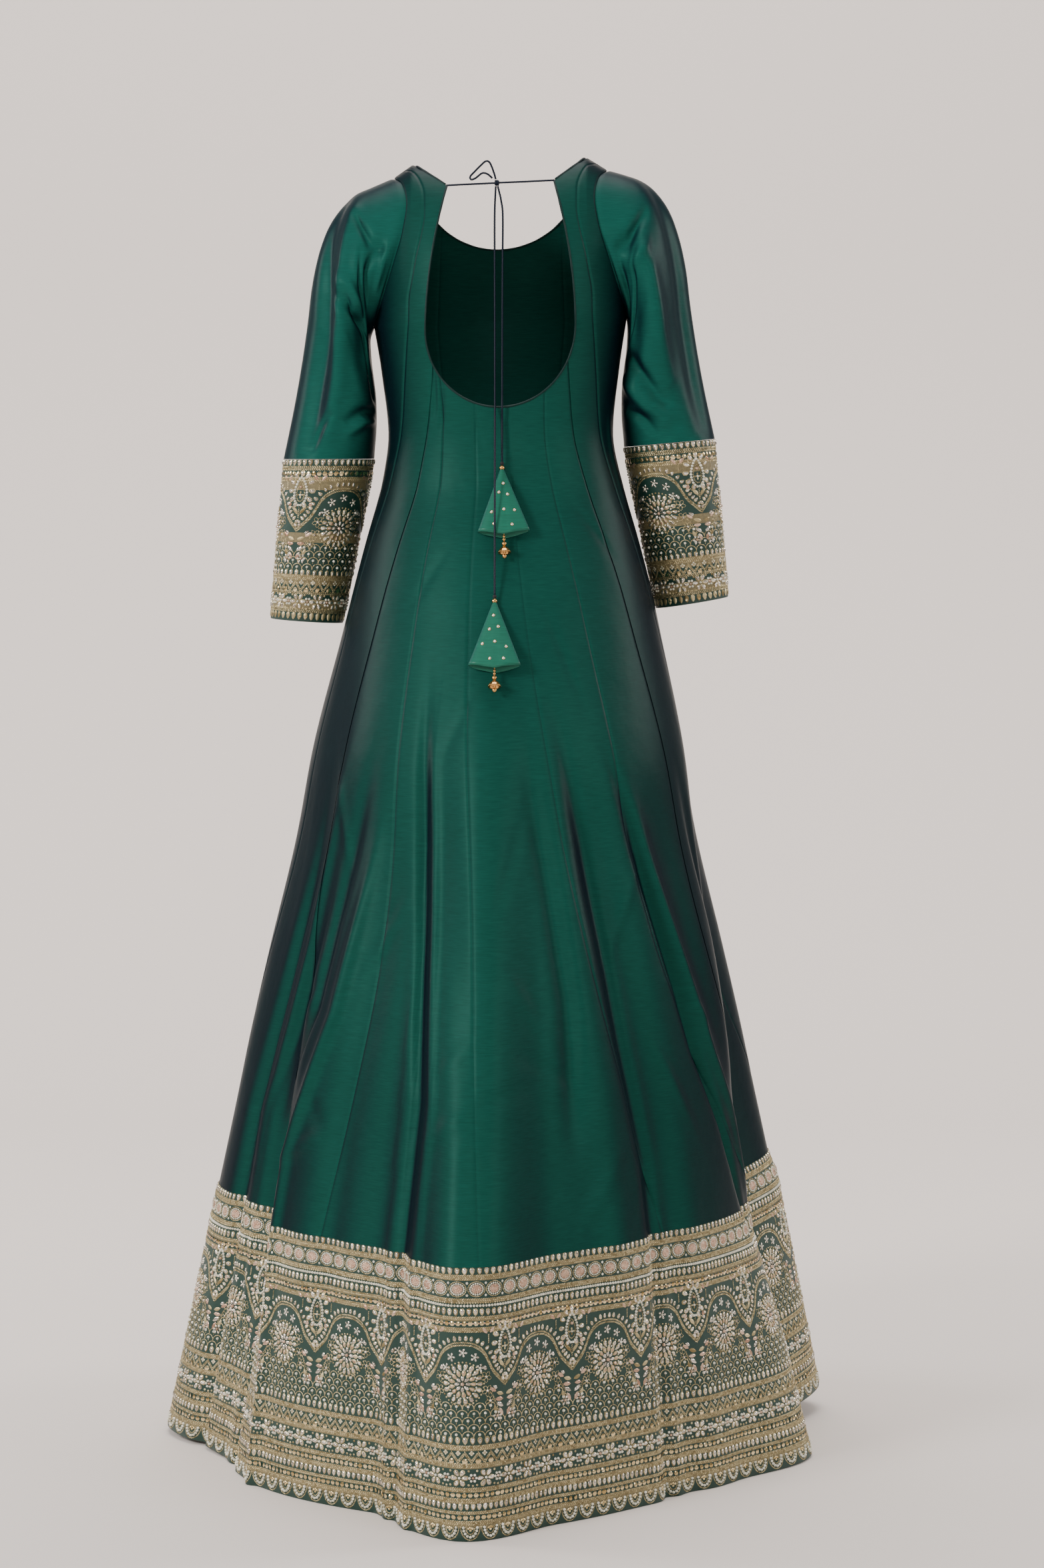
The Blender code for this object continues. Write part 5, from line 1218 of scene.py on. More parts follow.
def hem_border(work):
    """The border's rows from its top edge down to the hem's pearl scallops."""
    work.row(DROP_EDGE, GOLD, 8.2, 3.6, math.pi, 0.88)
    work.row(DROP, SILVER, 8.2, 3.2, math.pi, 0.88, 0.05)
    work.braid(9.2)
    work.braid(12.2, 1)
    medallions(work, 21.0, 23.2)
    work.braid(34.8)
    work.row(TINY_PEARL, GOLD, 2.9, 37.9)
    work.row(SMALL_PEARL, PEARL, 3.5, 41.0)
    work.row(DROP_EDGE, GOLD, 7.2, 47.8, math.pi, 0.88)
    work.row(DROP, SILVER, 7.2, 47.6, math.pi, 0.90, 0.05)
    work.braid(54.3)
    work.row(SEQUIN_DISC, SEQUIN, 6.5, 60.2, 0.0, 1.0, 0.10)
    work.row(TINY_PEARL, COPPER, 6.5, 60.2, 0.0, 1.0, 0.0, 0.5)
    work.braid(66.0)
    work.braid(69.0, 1)
    wide_field(work, round(work.width / 100.0), 82.0, 128.0, 183.0)
    work.row(DROP_EDGE, GOLD, 8.0, 186.0, math.pi, 0.88)
    work.row(DROP, SILVER, 8.0, 186.0, math.pi, 0.88, 0.05)
    work.braid(193.6, 3, 1.8)
    diamonds(work, 14.4, 203.2)
    work.braid(212.8, 3, 1.8)
    blossoms(work, 29.0, 226.4)
    work.braid(239.2, 3, 1.7)
    work.row(SEQUIN_DISC, SEQUIN, 6.2, 245.0, 0.0, 0.98, 0.10)
    work.braid(251.0, 3, 1.8)
    work.row(DROP_EDGE, GOLD, 6.6, 257.6, math.pi, 0.86)
    work.row(DROP, SILVER, 6.6, 257.4, math.pi, 0.94, 0.06)
    work.braid(264.2, 2, 1.8)
    work.row(SEQUIN_DISC, SEQUIN, 6.4, 269.2, 0.0, 0.98, 0.10)
    work.braid(275.2, 3, 1.8)
    scallops(work, 22.4, 278.5, 15.5)


def medallions(work, pitch, down):
    """Oval rose medallions in a gilt ring with seed pearls."""
    count = round(work.width / pitch)
    gap = work.width / count
    centres = np.stack([(np.arange(count) + 0.5) * gap, np.full(count, down)], axis=-1)
    for number, distance, squash, size in ((1, 0.0, 1.0, 1.5), (7, 2.5, 0.75, 1.25), (12, 4.7, 0.80, 1.2)):
        places, _ = round_places(number, distance, 0.3, squash)
        work.motif(TINY_PEARL, COPPER, centres, places, 0.0, size)
    places, _ = round_places(18, 7.3, 0.0, 0.82)
    work.motif(TINY_PEARL, PEARL, centres, places, 0.0, 0.95)
    ring, _ = round_places(30, 9.6, 0.0, 0.84)
    work.cord(centres, np.concatenate([ring, ring[:1]]), 2.2, GOLD, 0.0, 0.86)
    work.motif(TINY_PEARL, PEARL, centres, [[gap / 2, -6.6], [gap / 2, 6.6]], 0.0, 1.3)


def diamonds(work, pitch, down):
    """A zigzag cord with beads over it and half-round sequins under it."""
    count = round(work.width / pitch)
    gap = work.width / count
    centres = np.stack([(np.arange(count) + 0.5) * gap, np.full(count, down)], axis=-1)
    work.cord(centres, [[-gap / 2, 4.5], [0, -4.8], [gap / 2, 4.5]], 2.2, GOLD, 0.5, 0.9)
    work.cord(centres, [[-gap / 2, 6.9], [0, -2.4], [gap / 2, 6.9]], 2.2, GOLD, -0.5, 0.9)
    work.motif(SEQUIN_DISC, SEQUIN, centres, [[0, 5.0]], 0.0, 1.15, 0.06)
    places, _ = round_places(4, 1.9)
    work.motif(TINY_PEARL, PEARL, centres + [gap / 2, 0], places + [0, -3.6], 0.0, 0.85)
    work.motif(SEQUIN_DISC, GOLD, centres + [gap / 2, 0], [[0, -3.6]], 0.0, 0.85)


def blossoms(work, pitch, down):
    """Flowers of six foil petals between clusters of pearls."""
    count = round(work.width / pitch)
    gap = work.width / count
    centres = np.stack([(np.arange(count) + 0.5) * gap, np.full(count, down)], axis=-1)
    places, turns = round_places(6, 5.6)
    work.motif(DROP_EDGE, GOLD, centres, places * 1.08, turns, 0.86)
    work.motif(DROP, SILVER, centres, places * 1.08, turns, 0.94, 0.05)
    work.motif(SMALL_PEARL, PEARL, centres, [[0, 0]], 0.0, 1.0)
    between = centres + [gap / 2, 0]
    places, _ = round_places(6, 3.7)
    work.motif(SMALL_PEARL, PEARL, between, places, 0.0, 1.0)
    work.motif(SMALL_PEARL, COPPER, between, [[0, 0]], 0.0, 1.0)
    work.motif(TINY_PEARL, GOLD, between, [[-4.5, -7.6], [4.5, -7.6], [-4.5, 7.6], [4.5, 7.6], [0, 8.4]], 0.0, 1.2)


def scallops(work, pitch, top, deep):
    """Hanging scallops of pearls in a gilt outline along the lower edge."""
    count = round(work.width / pitch)
    gap = work.width / count
    centres = np.stack([(np.arange(count) + 0.5) * gap, np.full(count, top)], axis=-1)
    bow = np.radians(np.linspace(0, 180, 25))
    outer = np.stack([(gap / 2 - 0.8) * np.cos(bow), (deep - 0.5) * np.sin(bow)], axis=-1)
    inner = np.stack([(gap / 2 - 6.4) * np.cos(bow), (deep - 6.6) * np.sin(bow)], axis=-1)
    pearls = np.stack([(gap / 2 - 3.8) * np.cos(bow), (deep - 3.6) * np.sin(bow)], axis=-1)
    work.cord(centres, outer, 2.0, GOLD, 0.5, 0.85)
    work.cord(centres, inner, 2.0, GOLD, 0.5, 0.85)
    work.cord(centres, pearls, 3.5, PEARL, 0.0, 1.05, SMALL_PEARL)
    work.motif(TINY_PEARL, SEQUIN, centres, [[0, 1.8], [-2.2, 2.6], [2.2, 2.6], [0, 4.6]], 0.0, 1.25)


def embroidered(name, work, first, last, points, normals, width, deep):
    """The stitches of one stretch of the strip as one mesh, laid on the cloth of that stretch."""
    flat, faces, kinds, tones = [], [], [], []
    start = 0
    for places, form, kind, tone, centre in zip(work.points, work.faces, work.kinds, work.tones, work.centres):
        inside = (centre - first) % width < last - first
        chosen = places[inside]
        if not len(chosen):
            continue
        count = chosen.shape[1]
        offsets = start + count * np.arange(len(chosen))
        flat.append(chosen.reshape(-1, 3))
        faces.append((form[None] + offsets[:, None, None]).reshape(-1, 3))
        kinds.append(np.full(len(chosen) * len(form), kind))
        tones.append(np.repeat(tone[inside], count))
        start += len(chosen) * count
    flat, faces = np.concatenate(flat), np.concatenate(faces)
    base = sample_ring(points, width, deep, flat[:, 0], flat[:, 1])
    out = sample_ring(normals, width, deep, flat[:, 0], flat[:, 1])
    placed = base + out * flat[:, 2:] / 1000
    mesh = bpy.data.meshes.new(name)
    mesh.vertices.add(len(placed))
    mesh.vertices.foreach_set("co", placed.astype(np.float32).ravel())
    mesh.loops.add(faces.size)
    mesh.loops.foreach_set("vertex_index", faces.astype(np.int32).ravel())
    mesh.polygons.add(len(faces))
    mesh.polygons.foreach_set("loop_start", np.arange(0, faces.size, 3, dtype=np.int32))
    for material in STITCH_MATERIALS:
        mesh.materials.append(material)
    mesh.polygons.foreach_set("material_index", np.concatenate(kinds).astype(np.int32))
    mesh.update(calc_edges=True)
    mesh.shade_smooth()
    layer = mesh.attributes.new("tone", "FLOAT", "POINT")
    layer.data.foreach_set("value", np.concatenate(tones).astype(np.float32))
    made = bpy.data.objects.new(name, mesh)
    bpy.context.scene.collection.objects.link(made)
    return made


hem_work = Embroidery(RING_WIDTH, 11)
hem_border(hem_work)
for name, (first, last) in border_spans.items():
    made = embroidered(
        name + "_embroidery", hem_work, first, last, even_points, even_normals, RING_WIDTH, BORDER_DEEP
    )
    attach(made, "root")


# The sleeves. Each is one shaped piece of the same silk set into the armhole, full at the shoulder and close at
# the elbow, with an under-arm seam. The tables give its rings: the outer and inner points, half depth and Y.
SLEEVE = [
    {"outer_x": 0.1450, "outer": 1.4590, "inner_x": 0.1475, "inner": 1.285, "depth": 0.062, "y": 0.000},
    {"outer_x": 0.1710, "outer": 1.4480, "inner_x": 0.1465, "inner": 1.262, "depth": 0.066, "y": 0.001},
    {"outer_x": 0.1915, "outer": 1.4240, "inner_x": 0.1440, "inner": 1.243, "depth": 0.067, "y": 0.003},
    {"outer_x": 0.2050, "outer": 1.3920, "inner_x": 0.1415, "inner": 1.222, "depth": 0.066, "y": 0.005},
    {"outer_x": 0.2145, "outer": 1.3520, "inner_x": 0.1408, "inner": 1.203, "depth": 0.064, "y": 0.008},
    {"outer_x": 0.2205, "outer": 1.3060, "inner_x": 0.1410, "inner": 1.186, "depth": 0.061, "y": 0.011},
    {"outer_x": 0.2280, "outer": 1.2580, "inner_x": 0.1420, "inner": 1.172, "depth": 0.058, "y": 0.014},
    {"outer_x": 0.2370, "outer": 1.2100, "inner_x": 0.1430, "inner": 1.162, "depth": 0.055, "y": 0.017},
    {"outer_x": 0.2490, "outer": 1.1545, "inner_x": 0.1440, "inner": 1.150, "depth": 0.051, "y": 0.021},
]
CUFF = [
    {"outer_x": 0.2490, "outer": 1.1540, "inner_x": 0.1440, "inner": 1.1495, "depth": 0.051, "y": 0.021},
    {"outer_x": 0.2550, "outer": 1.0920, "inner_x": 0.1560, "inner": 1.0860, "depth": 0.049, "y": 0.029},
    {"outer_x": 0.2610, "outer": 1.0320, "inner_x": 0.1690, "inner": 1.0240, "depth": 0.047, "y": 0.037},
    {"outer_x": 0.2665, "outer": 0.9716, "inner_x": 0.1820, "inner": 0.9620, "depth": 0.045, "y": 0.045},
]
ARMHOLE_TUCK = 0.0080
SLEEVE_FOLDS = [
    {"fold": "outer hollow", "angle": 48, "half": 26, "start": 1.0, "end": 9.0, "depth": -0.007},
    {"fold": "back ridge", "angle": 88, "half": 22, "start": 0.5, "end": 7.5, "depth": 0.006},
    {"fold": "armpit hollow", "angle": 122, "half": 18, "start": 0.5, "end": 5.0, "depth": -0.007},
    {"fold": "inner ridge", "angle": 150, "half": 16, "start": 1.0, "end": 4.0, "depth": 0.003},
    {"fold": "front ridge", "angle": -70, "half": 24, "start": 0.5, "end": 8.0, "depth": 0.005},
    {"fold": "front hollow", "angle": -112, "half": 20, "start": 0.5, "end": 6.0, "depth": -0.006},
]
# The sleeve's creases: (ring, degrees from the outer side towards the back) along each, its width and depth.
RING_STEP = 0.038
SLEEVE_REACH = 0.060
SLEEVE_CREASES = {
    -1: [
        {"crease": "outer trough", "width": 0.015, "depth": -0.0088,
         "path": [(2.2, 10), (3.4, 26), (4.6, 50), (5.6, 58), (7.0, 58), (8.7, 62)]},
        {"crease": "ridge beside it", "width": 0.012, "depth": 0.0068,
         "path": [(1.8, 40), (3.0, 68), (4.4, 84), (6.2, 86), (8.2, 84)]},
        {"crease": "elbow crease", "width": 0.0055, "depth": -0.0074,
         "path": [(3.9, 76), (3.3, 92), (2.7, 114), (1.9, 132)]},
        {"crease": "elbow crease's upper lip", "width": 0.0070, "depth": 0.0047,
         "path": [(3.4, 72), (2.7, 88), (2.1, 110)]},
        {"crease": "edge under the elbow", "width": 0.0085, "depth": -0.0061,
         "path": [(2.7, 114), (2.6, 132), (3.2, 150), (4.4, 160)]},
        {"crease": "pinch by the armhole", "width": 0.0045, "depth": -0.0054,
         "path": [(0.5, 84), (1.0, 76), (1.5, 58), (1.8, 42)]},
        {"crease": "pinch, downwards", "width": 0.0050, "depth": -0.0047,
         "path": [(0.6, 82), (1.2, 96), (1.3, 116)]},
        {"crease": "soft line", "width": 0.0060, "depth": -0.0034,
         "path": [(1.6, 80), (1.9, 96), (1.9, 116)]},
        {"crease": "curl by the armhole", "width": 0.0050, "depth": 0.0047,
         "path": [(0.25, 74), (0.35, 92), (0.5, 112)]},
        {"crease": "forearm fold", "width": 0.0065, "depth": -0.0054,
         "path": [(5.1, 158), (5.9, 138), (7.3, 110)]},
        {"crease": "forearm fold's lip", "width": 0.0070, "depth": 0.0041,
         "path": [(5.8, 158), (6.5, 136), (7.9, 112)]},
        {"crease": "short crease over the cuff", "width": 0.0045, "depth": -0.0034,
         "path": [(7.5, 86), (8.1, 76), (8.7, 69)]},
        {"crease": "front elbow crease", "width": 0.0065, "depth": -0.0068,
         "path": [(3.6, -70), (3.9, -100), (3.4, -132), (2.6, -156)]},
        {"crease": "front fold", "width": 0.0110, "depth": -0.0068,
         "path": [(1.6, -36), (3.4, -50), (5.6, -56), (8.0, -52)]},
        {"crease": "front forearm fold", "width": 0.0065, "depth": -0.0047,
         "path": [(6.0, -148), (6.6, -120), (7.6, -92)]},
    ],
    1: [
        {"crease": "outer trough", "width": 0.016, "depth": -0.0074,
         "path": [(2.0, 14), (3.4, 26), (5.0, 30), (7.0, 32), (8.7, 38)]},
        {"crease": "pinch by the armhole", "width": 0.0060, "depth": -0.0074,
         "path": [(0.4, 92), (1.0, 84), (1.6, 66), (2.0, 52)]},
        {"crease": "pinch's lip", "width": 0.0080, "depth": 0.0047,
         "path": [(0.8, 104), (1.6, 92), (2.4, 74)]},
        {"crease": "armhole fold", "width": 0.0060, "depth": -0.0047,
         "path": [(0.5, 104), (0.8, 124), (1.3, 146)]},
        {"crease": "upper arm line", "width": 0.0055, "depth": -0.0038,
         "path": [(1.5, 98), (2.0, 116), (2.6, 132)]},
        {"crease": "elbow crease", "width": 0.0065, "depth": -0.0081,
         "path": [(2.9, 152), (4.4, 132), (6.1, 110), (7.1, 97), (7.7, 86)]},
        {"crease": "elbow crease's lip", "width": 0.0085, "depth": 0.0061,
         "path": [(4.0, 158), (5.6, 134), (7.2, 112), (8.2, 92)]},
        {"crease": "ridge over the elbow", "width": 0.0110, "depth": 0.0054,
         "path": [(2.0, 82), (3.6, 84), (5.4, 84), (7.0, 76)]},
        {"crease": "forearm fold", "width": 0.0060, "depth": -0.0047,
         "path": [(6.3, 148), (7.1, 130), (8.5, 108)]},
        {"crease": "front elbow crease", "width": 0.0065, "depth": -0.0068,
         "path": [(4.4, -66), (4.7, -98), (4.0, -130), (3.0, -154)]},
        {"crease": "front fold", "width": 0.0110, "depth": -0.0068,
         "path": [(1.8, -34), (3.6, -46), (5.8, -58), (8.2, -50)]},
        {"crease": "front forearm fold", "width": 0.0060, "depth": -0.0047,
         "path": [(6.4, -150), (7.0, -126), (7.8, -96)]},
    ],
}
SLEEVE_COLUMNS = 128
SLEEVE_ROWS = 104
CUFF_ROWS = 41
CUFF_COLUMNS = 216
CUFF_DEEP = 187.0


def sleeve_ring(row, turn, hand, number):
    """A ring of the sleeve's own form, with its main folds, before its creases."""
    outer = np.array([row["outer_x"], row["outer"]])
    inner = np.array([row["inner_x"], row["inner"]])
    centre, half = (outer + inner) / 2, (outer - inner) / 2
    stand = np.zeros(turn.shape)
    for fold in SLEEVE_FOLDS:
        away = (np.degrees(turn) - fold["angle"] + 180) % 360 - 180
        middle, span = (fold["start"] + fold["end"]) / 2, (fold["end"] - fold["start"]) / 2
        along = max(0.0, 1 - ((number - middle) / span) ** 2)
        stand += fold["depth"] * along * np.exp(-((away / fold["half"]) ** 2))
    out = 1 + stand / np.linalg.norm(half)
    x = hand * (centre[0] + half[0] * np.cos(turn) * out)
    z = centre[1] + half[1] * np.cos(turn) * out
    y = row["y"] - (row["depth"] + stand) * np.sin(turn)
    return np.stack([x, y, z + TILT * x - SHOULDER_HEIGHT], axis=-1)


def armhole_ring(turn, hand):
    """The armhole's edge, from the armpit up the back to the ridge and down the front."""
    back = turn >= 0
    place = np.clip((math.pi - np.abs(turn)) / math.pi * (len(SHOULDER) - 1), 0, len(SHOULDER) - 1)
    x = hand * smooth(table_rows, column(SHOULDER, "armhole_x"), place)
    height = smooth(table_rows, column(SHOULDER, "armhole"), place)
    ring = np.where(back[:, None], shoulder_point(x, height, -1), shoulder_point(x, height, 1))
    return worn(ring)


def blend_rings(rings, place):
    """A smooth tube through rings, read at places counted in rings."""
    padded = np.concatenate([2 * rings[:1] - rings[1:2], rings, 2 * rings[-1:] - rings[-2:-1]])
    i = np.minimum(place.astype(int), len(rings) - 2)
    t = (place - i)[:, None, None]
    p0, p1, p2, p3 = padded[i], padded[i + 1], padded[i + 2], padded[i + 3]
    bend = (2 * p0 - 5 * p1 + 4 * p2 - p3) * t + (3 * p1 - p0 - 3 * p2 + p3) * t * t
    return 0.5 * (2 * p1 + (p2 - p0) * t + bend * t)


def tube_normals(points, hand):
    along = np.gradient(points, axis=0)
    around = np.roll(points, -1, axis=1) - np.roll(points, 1, axis=1)
    normal = np.cross(along, around) * hand
    return normal / np.maximum(np.linalg.norm(normal, axis=-1, keepdims=True), 1e-9)


def line_crease(along, around, row):
    """How far a crease stands out at points, by their distance from its line; it fades towards both ends."""
    path = np.array(row["path"], float) * [RING_STEP, math.radians(SLEEVE_REACH)]
    starts, ends = path[:-1], path[1:]
    run = np.concatenate([[0], np.cumsum(np.linalg.norm(ends - starts, axis=1))])
    nearest = np.full(along.shape, 1e9)
    place = np.zeros(along.shape)
    for start, end, before in zip(starts, ends, run):
        step = end - start
        span = np.linalg.norm(step)
        t = np.clip(((along - start[0]) * step[0] + (around - start[1]) * step[1]) / span**2, 0, 1)
        away = np.hypot(along - start[0] - t * step[0], around - start[1] - t * step[1])
        place = np.where(away < nearest, before + t * span, place)
        nearest = np.minimum(nearest, away)
    fade = np.sin(math.pi * np.clip(0.08 + 0.84 * place / run[-1], 0, 1)) ** 0.7
    return row["depth"] * fade * np.exp(-((nearest / row["width"]) ** 2))


# The sleeves' silk is the same cloth with its weave running down the arm, so that it shows more of its bright side;
# its lighter colours are partly that and partly painted light for the light that falls on the sleeves, and its
# near-black turned colour paints shade where they turn away.
sleeve_silk, sleeve_shader = shader_of("emerald_shot_taffeta_sleeve")
sleeve_shader.inputs["Roughness"].default_value = 0.38
sleeve_shader.inputs["Specular IOR Level"].default_value = 0.08
sleeve_shader.inputs["Specular Tint"].default_value = linear("#9AD6C8")
silk_colour(sleeve_silk, sleeve_shader, "#16564C", "#0A1B24", "#0D3A34")

sleeve_turn = math.pi - np.arange(SLEEVE_COLUMNS) * 2 * math.pi / SLEEVE_COLUMNS
sleeve_place = np.concatenate([[0, 0.03, 0.07, 0.13, 0.20], np.linspace(0.3, len(SLEEVE), SLEEVE_ROWS - 6)])
cuff_turn = math.pi - np.arange(CUFF_COLUMNS) * 2 * math.pi / CUFF_COLUMNS
cuff_rings = {}
for hand, suffix in ((1, "right"), (-1, "left")):
    rings = [armhole_ring(sleeve_turn, hand)]
    rings += [sleeve_ring(row, sleeve_turn, hand, i + 1) for i, row in enumerate(SLEEVE)]
    points = blend_rings(np.array(rings), sleeve_place)
    along = np.broadcast_to(sleeve_place[:, None] * RING_STEP, points.shape[:2])
    around = np.broadcast_to(sleeve_turn * SLEEVE_REACH, points.shape[:2])
    stand = sum(line_crease(along, around, row) for row in SLEEVE_CREASES[hand])
    stand = stand * np.clip(sleeve_place / 0.5, 0, 1)[:, None] * np.clip((9.0 - sleeve_place) / 0.25, 0, 1)[:, None]
    under_arm = np.degrees(np.abs(np.abs(sleeve_turn) - math.pi)) * math.radians(1) * SLEEVE_REACH
    roll = np.exp(-((sleeve_place * RING_STEP / 0.0035) ** 2))[:, None] * 0.0016
    roll = roll + np.exp(-((under_arm / 0.0022) ** 2)) * 0.0012
    points = points + (stand - roll)[..., None] * tube_normals(points, hand)
    inside = points[0] + (points[0].mean(axis=0) - points[0]) * 0.012 - [hand * ARMHOLE_TUCK, 0, 0]
    points = np.concatenate([inside[None], points])
    made = add_mesh(
        f"sleeve_{suffix}_cloth", points.reshape(-1, 3), grid_faces(SLEEVE_ROWS, SLEEVE_COLUMNS, True), [sleeve_silk]
    )
    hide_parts("sleeve_" + suffix)
    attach(made, "root")

    # The cuff below it: a flat band of the same silk, covered in the embroidery and turned in at its lower edge.
    rings = np.array([sleeve_ring(row, cuff_turn, hand, len(SLEEVE) + 1) for row in CUFF])
    points = blend_rings(rings, np.linspace(0, len(CUFF) - 1, CUFF_ROWS))
    normals = tube_normals(points, hand)
    points, normals = [np.concatenate([grid, grid[:, :1]], axis=1) for grid in (points, normals)]
    round_middle = np.linalg.norm(np.diff(points[CUFF_ROWS // 2], axis=0), axis=1)
    width = 1000 * float(round_middle.sum())
    length = 1000 * np.concatenate([[0], np.cumsum(round_middle)])
    even = np.interp(np.linspace(0, width, CUFF_COLUMNS + 1), length, np.arange(CUFF_COLUMNS + 1))
    first = np.minimum(even.astype(int), CUFF_COLUMNS - 1)
    share = (even - first)[None, :, None]
    points = points[:, first] * (1 - share) + points[:, first + 1] * share
    normals = normals[:, first] * (1 - share) + normals[:, first + 1] * share
    lower = turned_edge(points, normals, width, CUFF_DEEP, length[:-1])
    cloth = np.concatenate([points[:, :-1], lower])
    made = add_mesh(
        f"cuff_{suffix}_cloth", cloth.reshape(-1, 3), grid_faces(len(cloth), CUFF_COLUMNS, True), [border_silk]
    )
    down = np.concatenate([np.linspace(0, CUFF_DEEP, CUFF_ROWS), np.full(len(TURNED_EDGE), float(CUFF_DEEP))])
    strip_uv(made.data, np.zeros(cloth.shape[:2]), np.broadcast_to(down[:, None] * 0.4, cloth.shape[:2]), BORDER_DEEP)
    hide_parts("cuff_" + suffix)
    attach(made, "root")
    cuff_rings[suffix] = (made, cloth, points, normals, width)


def cuff_band(work):
    """The cuff's rows from its top edge down to the round sequins along its lower edge."""
    work.row(DROP_EDGE, GOLD, 6.8, 3.4, math.pi, 0.82)
    work.row(DROP, SILVER, 6.8, 3.2, math.pi, 0.88, 0.06)
    work.braid(10.0, 3, 1.7)
    work.row(SEQUIN_DISC, SEQUIN, 6.0, 16.0, 0.0, 1.0, 0.10)
    work.braid(22.2, 3, 1.7)
    wide_field(work, 3, 34.0, 81.0, 127.0)
    work.row(DROP_EDGE, GOLD, 7.6, 130.6, math.pi, 0.80)
    work.row(DROP, SILVER, 7.6, 130.6, math.pi, 0.78, 0.05)
    work.braid(136.4, 3, 1.8)
    diamonds(work, 14.0, 145.4)
    work.braid(153.6, 2, 1.8)
    blossoms(work, 26.0, 164.0)
    work.braid(174.4, 3, 1.7)
    work.row(DROP_EDGE, GOLD, 8.0, 181.0, math.pi, 0.90)
    work.row(SEQUIN_DISC, SEQUIN, 8.0, 181.2, 0.0, 0.95, 0.05)


for suffix, (ground, cloth, points, normals, width) in cuff_rings.items():
    cuff_work = Embroidery(width, 23 if suffix == "left" else 29)
    cuff_band(cuff_work)
    made = embroidered(
        f"cuff_{suffix}_embroidery", cuff_work, 0.0, width, points, normals, width, CUFF_DEEP
    )
    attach(made, "root")




# The pipings: narrow bias strips of dark green silk rolled over a filler cord, sewn round the back cut-out and
# round the neck. They finish the raw edges and are a little uneven, as hand-turned piping is.
PIPING_RADIUS = 0.0011
PIPING_SIDES = 12
EDGE_SPARE = 0.0007


def round_tube(name, line, reach, materials, sides=12, closed=False, strands=0, twist=0.0, groove=0.0):
    """A tube along a line, round or laid up from twisted strands, closed at its ends with flat caps."""
    line = np.asarray(line, float)
    reach = np.broadcast_to(np.asarray(reach, float), len(line))
    direction = np.gradient(line, axis=0)
    direction /= np.linalg.norm(direction, axis=1, keepdims=True)
    normal = np.cross(direction[0], [0.37, 0.81, 0.45])
    length = np.concatenate([[0], np.cumsum(np.linalg.norm(np.diff(line, axis=0), axis=1))])
    rings = []
    for point, along, size, run in zip(line, direction, reach, length):
        normal = normal - along * np.dot(normal, along)
        normal /= np.linalg.norm(normal)
        other = np.cross(along, normal)
        turn = np.arange(sides) * 2 * math.pi / sides
        lobes = 1 - groove * (1 - np.abs(np.cos(strands * (turn + twist * run) / 2))) if strands else 1.0
        rings.append(point + (size * lobes * np.cos(turn))[:, None] * normal + (size * lobes * np.sin(turn))[:, None] * other)
    faces = grid_faces(len(line), sides, True)
    faces = [tuple(reversed(face)) for face in faces]
    faces.append(tuple(range(sides)))
    last = (len(line) - 1) * sides
    faces.append(tuple(last + s for s in reversed(range(sides))))
    return add_mesh(name, np.concatenate(rings), faces, materials)


def even_line(points, step):
    """Points about one step apart along a smooth curve through the given points."""
    points = np.asarray(points, float)
    padded = np.concatenate([2 * points[:1] - points[1:2], points, 2 * points[-1:] - points[-2:-1]])
    t = np.linspace(0, 1, 24, endpoint=False)[:, None]
    fine = []
    for p0, p1, p2, p3 in zip(padded, padded[1:], padded[2:], padded[3:]):
        fine.append(0.5 * (2 * p1 + (p2 - p0) * t + (2 * p0 - 5 * p1 + 4 * p2 - p3) * t**2 + (3 * p1 - p0 - 3 * p2 + p3) * t**3))
    fine = np.concatenate([*fine, points[-1:]])
    length = np.concatenate([[0], np.cumsum(np.linalg.norm(np.diff(fine, axis=0), axis=1))])
    places = np.linspace(0, length[-1], max(int(round(length[-1] / step)), 2) + 1)
    return np.stack([np.interp(places, length, fine[:, axis]) for axis in range(3)], axis=-1)


piping_silk, piping_shader = shader_of("dark_bias_silk")
piping_shader.inputs["Roughness"].default_value = 0.48
piping_shader.inputs["Specular IOR Level"].default_value = 0.2
# The piping's darker turned colour paints shade where the piping turns away from view.
silk_colour(piping_silk, piping_shader, "#0B2D28", "#0F1620", "#08201E")

worn_edges = {name: worn(rows)[:, (0, -1)] for name, (rows, seams) in panel_points.items()}
corner_row = LOWER + BY_CHEST + int(round(6 / (len(SHOULDER) - 1) * (OVER_SHOULDER - 1)))
chest_row = LOWER
neck_row = LOWER + BY_CHEST + int(round(NECKLINE_ROW / (len(SHOULDER) - 1) * (OVER_SHOULDER - 1)))
left_edge = worn_edges["back_shoulder_panel_left"][:, 1]
right_edge = worn_edges["back_shoulder_panel_right"][:, 0]
bottom_edges = [worn(panel_points[f"back_panel_{number}"][0])[-1, 2:-2] for number in range(1, 6)]
cutout_line = np.concatenate([left_edge[chest_row:corner_row][::-1], *bottom_edges, right_edge[chest_row:corner_row]])
front_edges = [
    worn(panel_points["front_panel_right"][0])[neck_row:, -1][::-1],
    worn(front_rows)[-1, 1:-1],
    worn(panel_points["front_panel_left"][0])[neck_row:, 0],
]
NECK_START = 0.25
after_corner = [edge[corner_row - 1] * (1 - NECK_START) + edge[corner_row] * NECK_START for edge in (right_edge, left_edge)]
neck_line = np.concatenate(
    [after_corner[:1], right_edge[corner_row + 1 : -1], *front_edges, left_edge[corner_row + 1 : -1][::-1], after_corner[1:]]
)
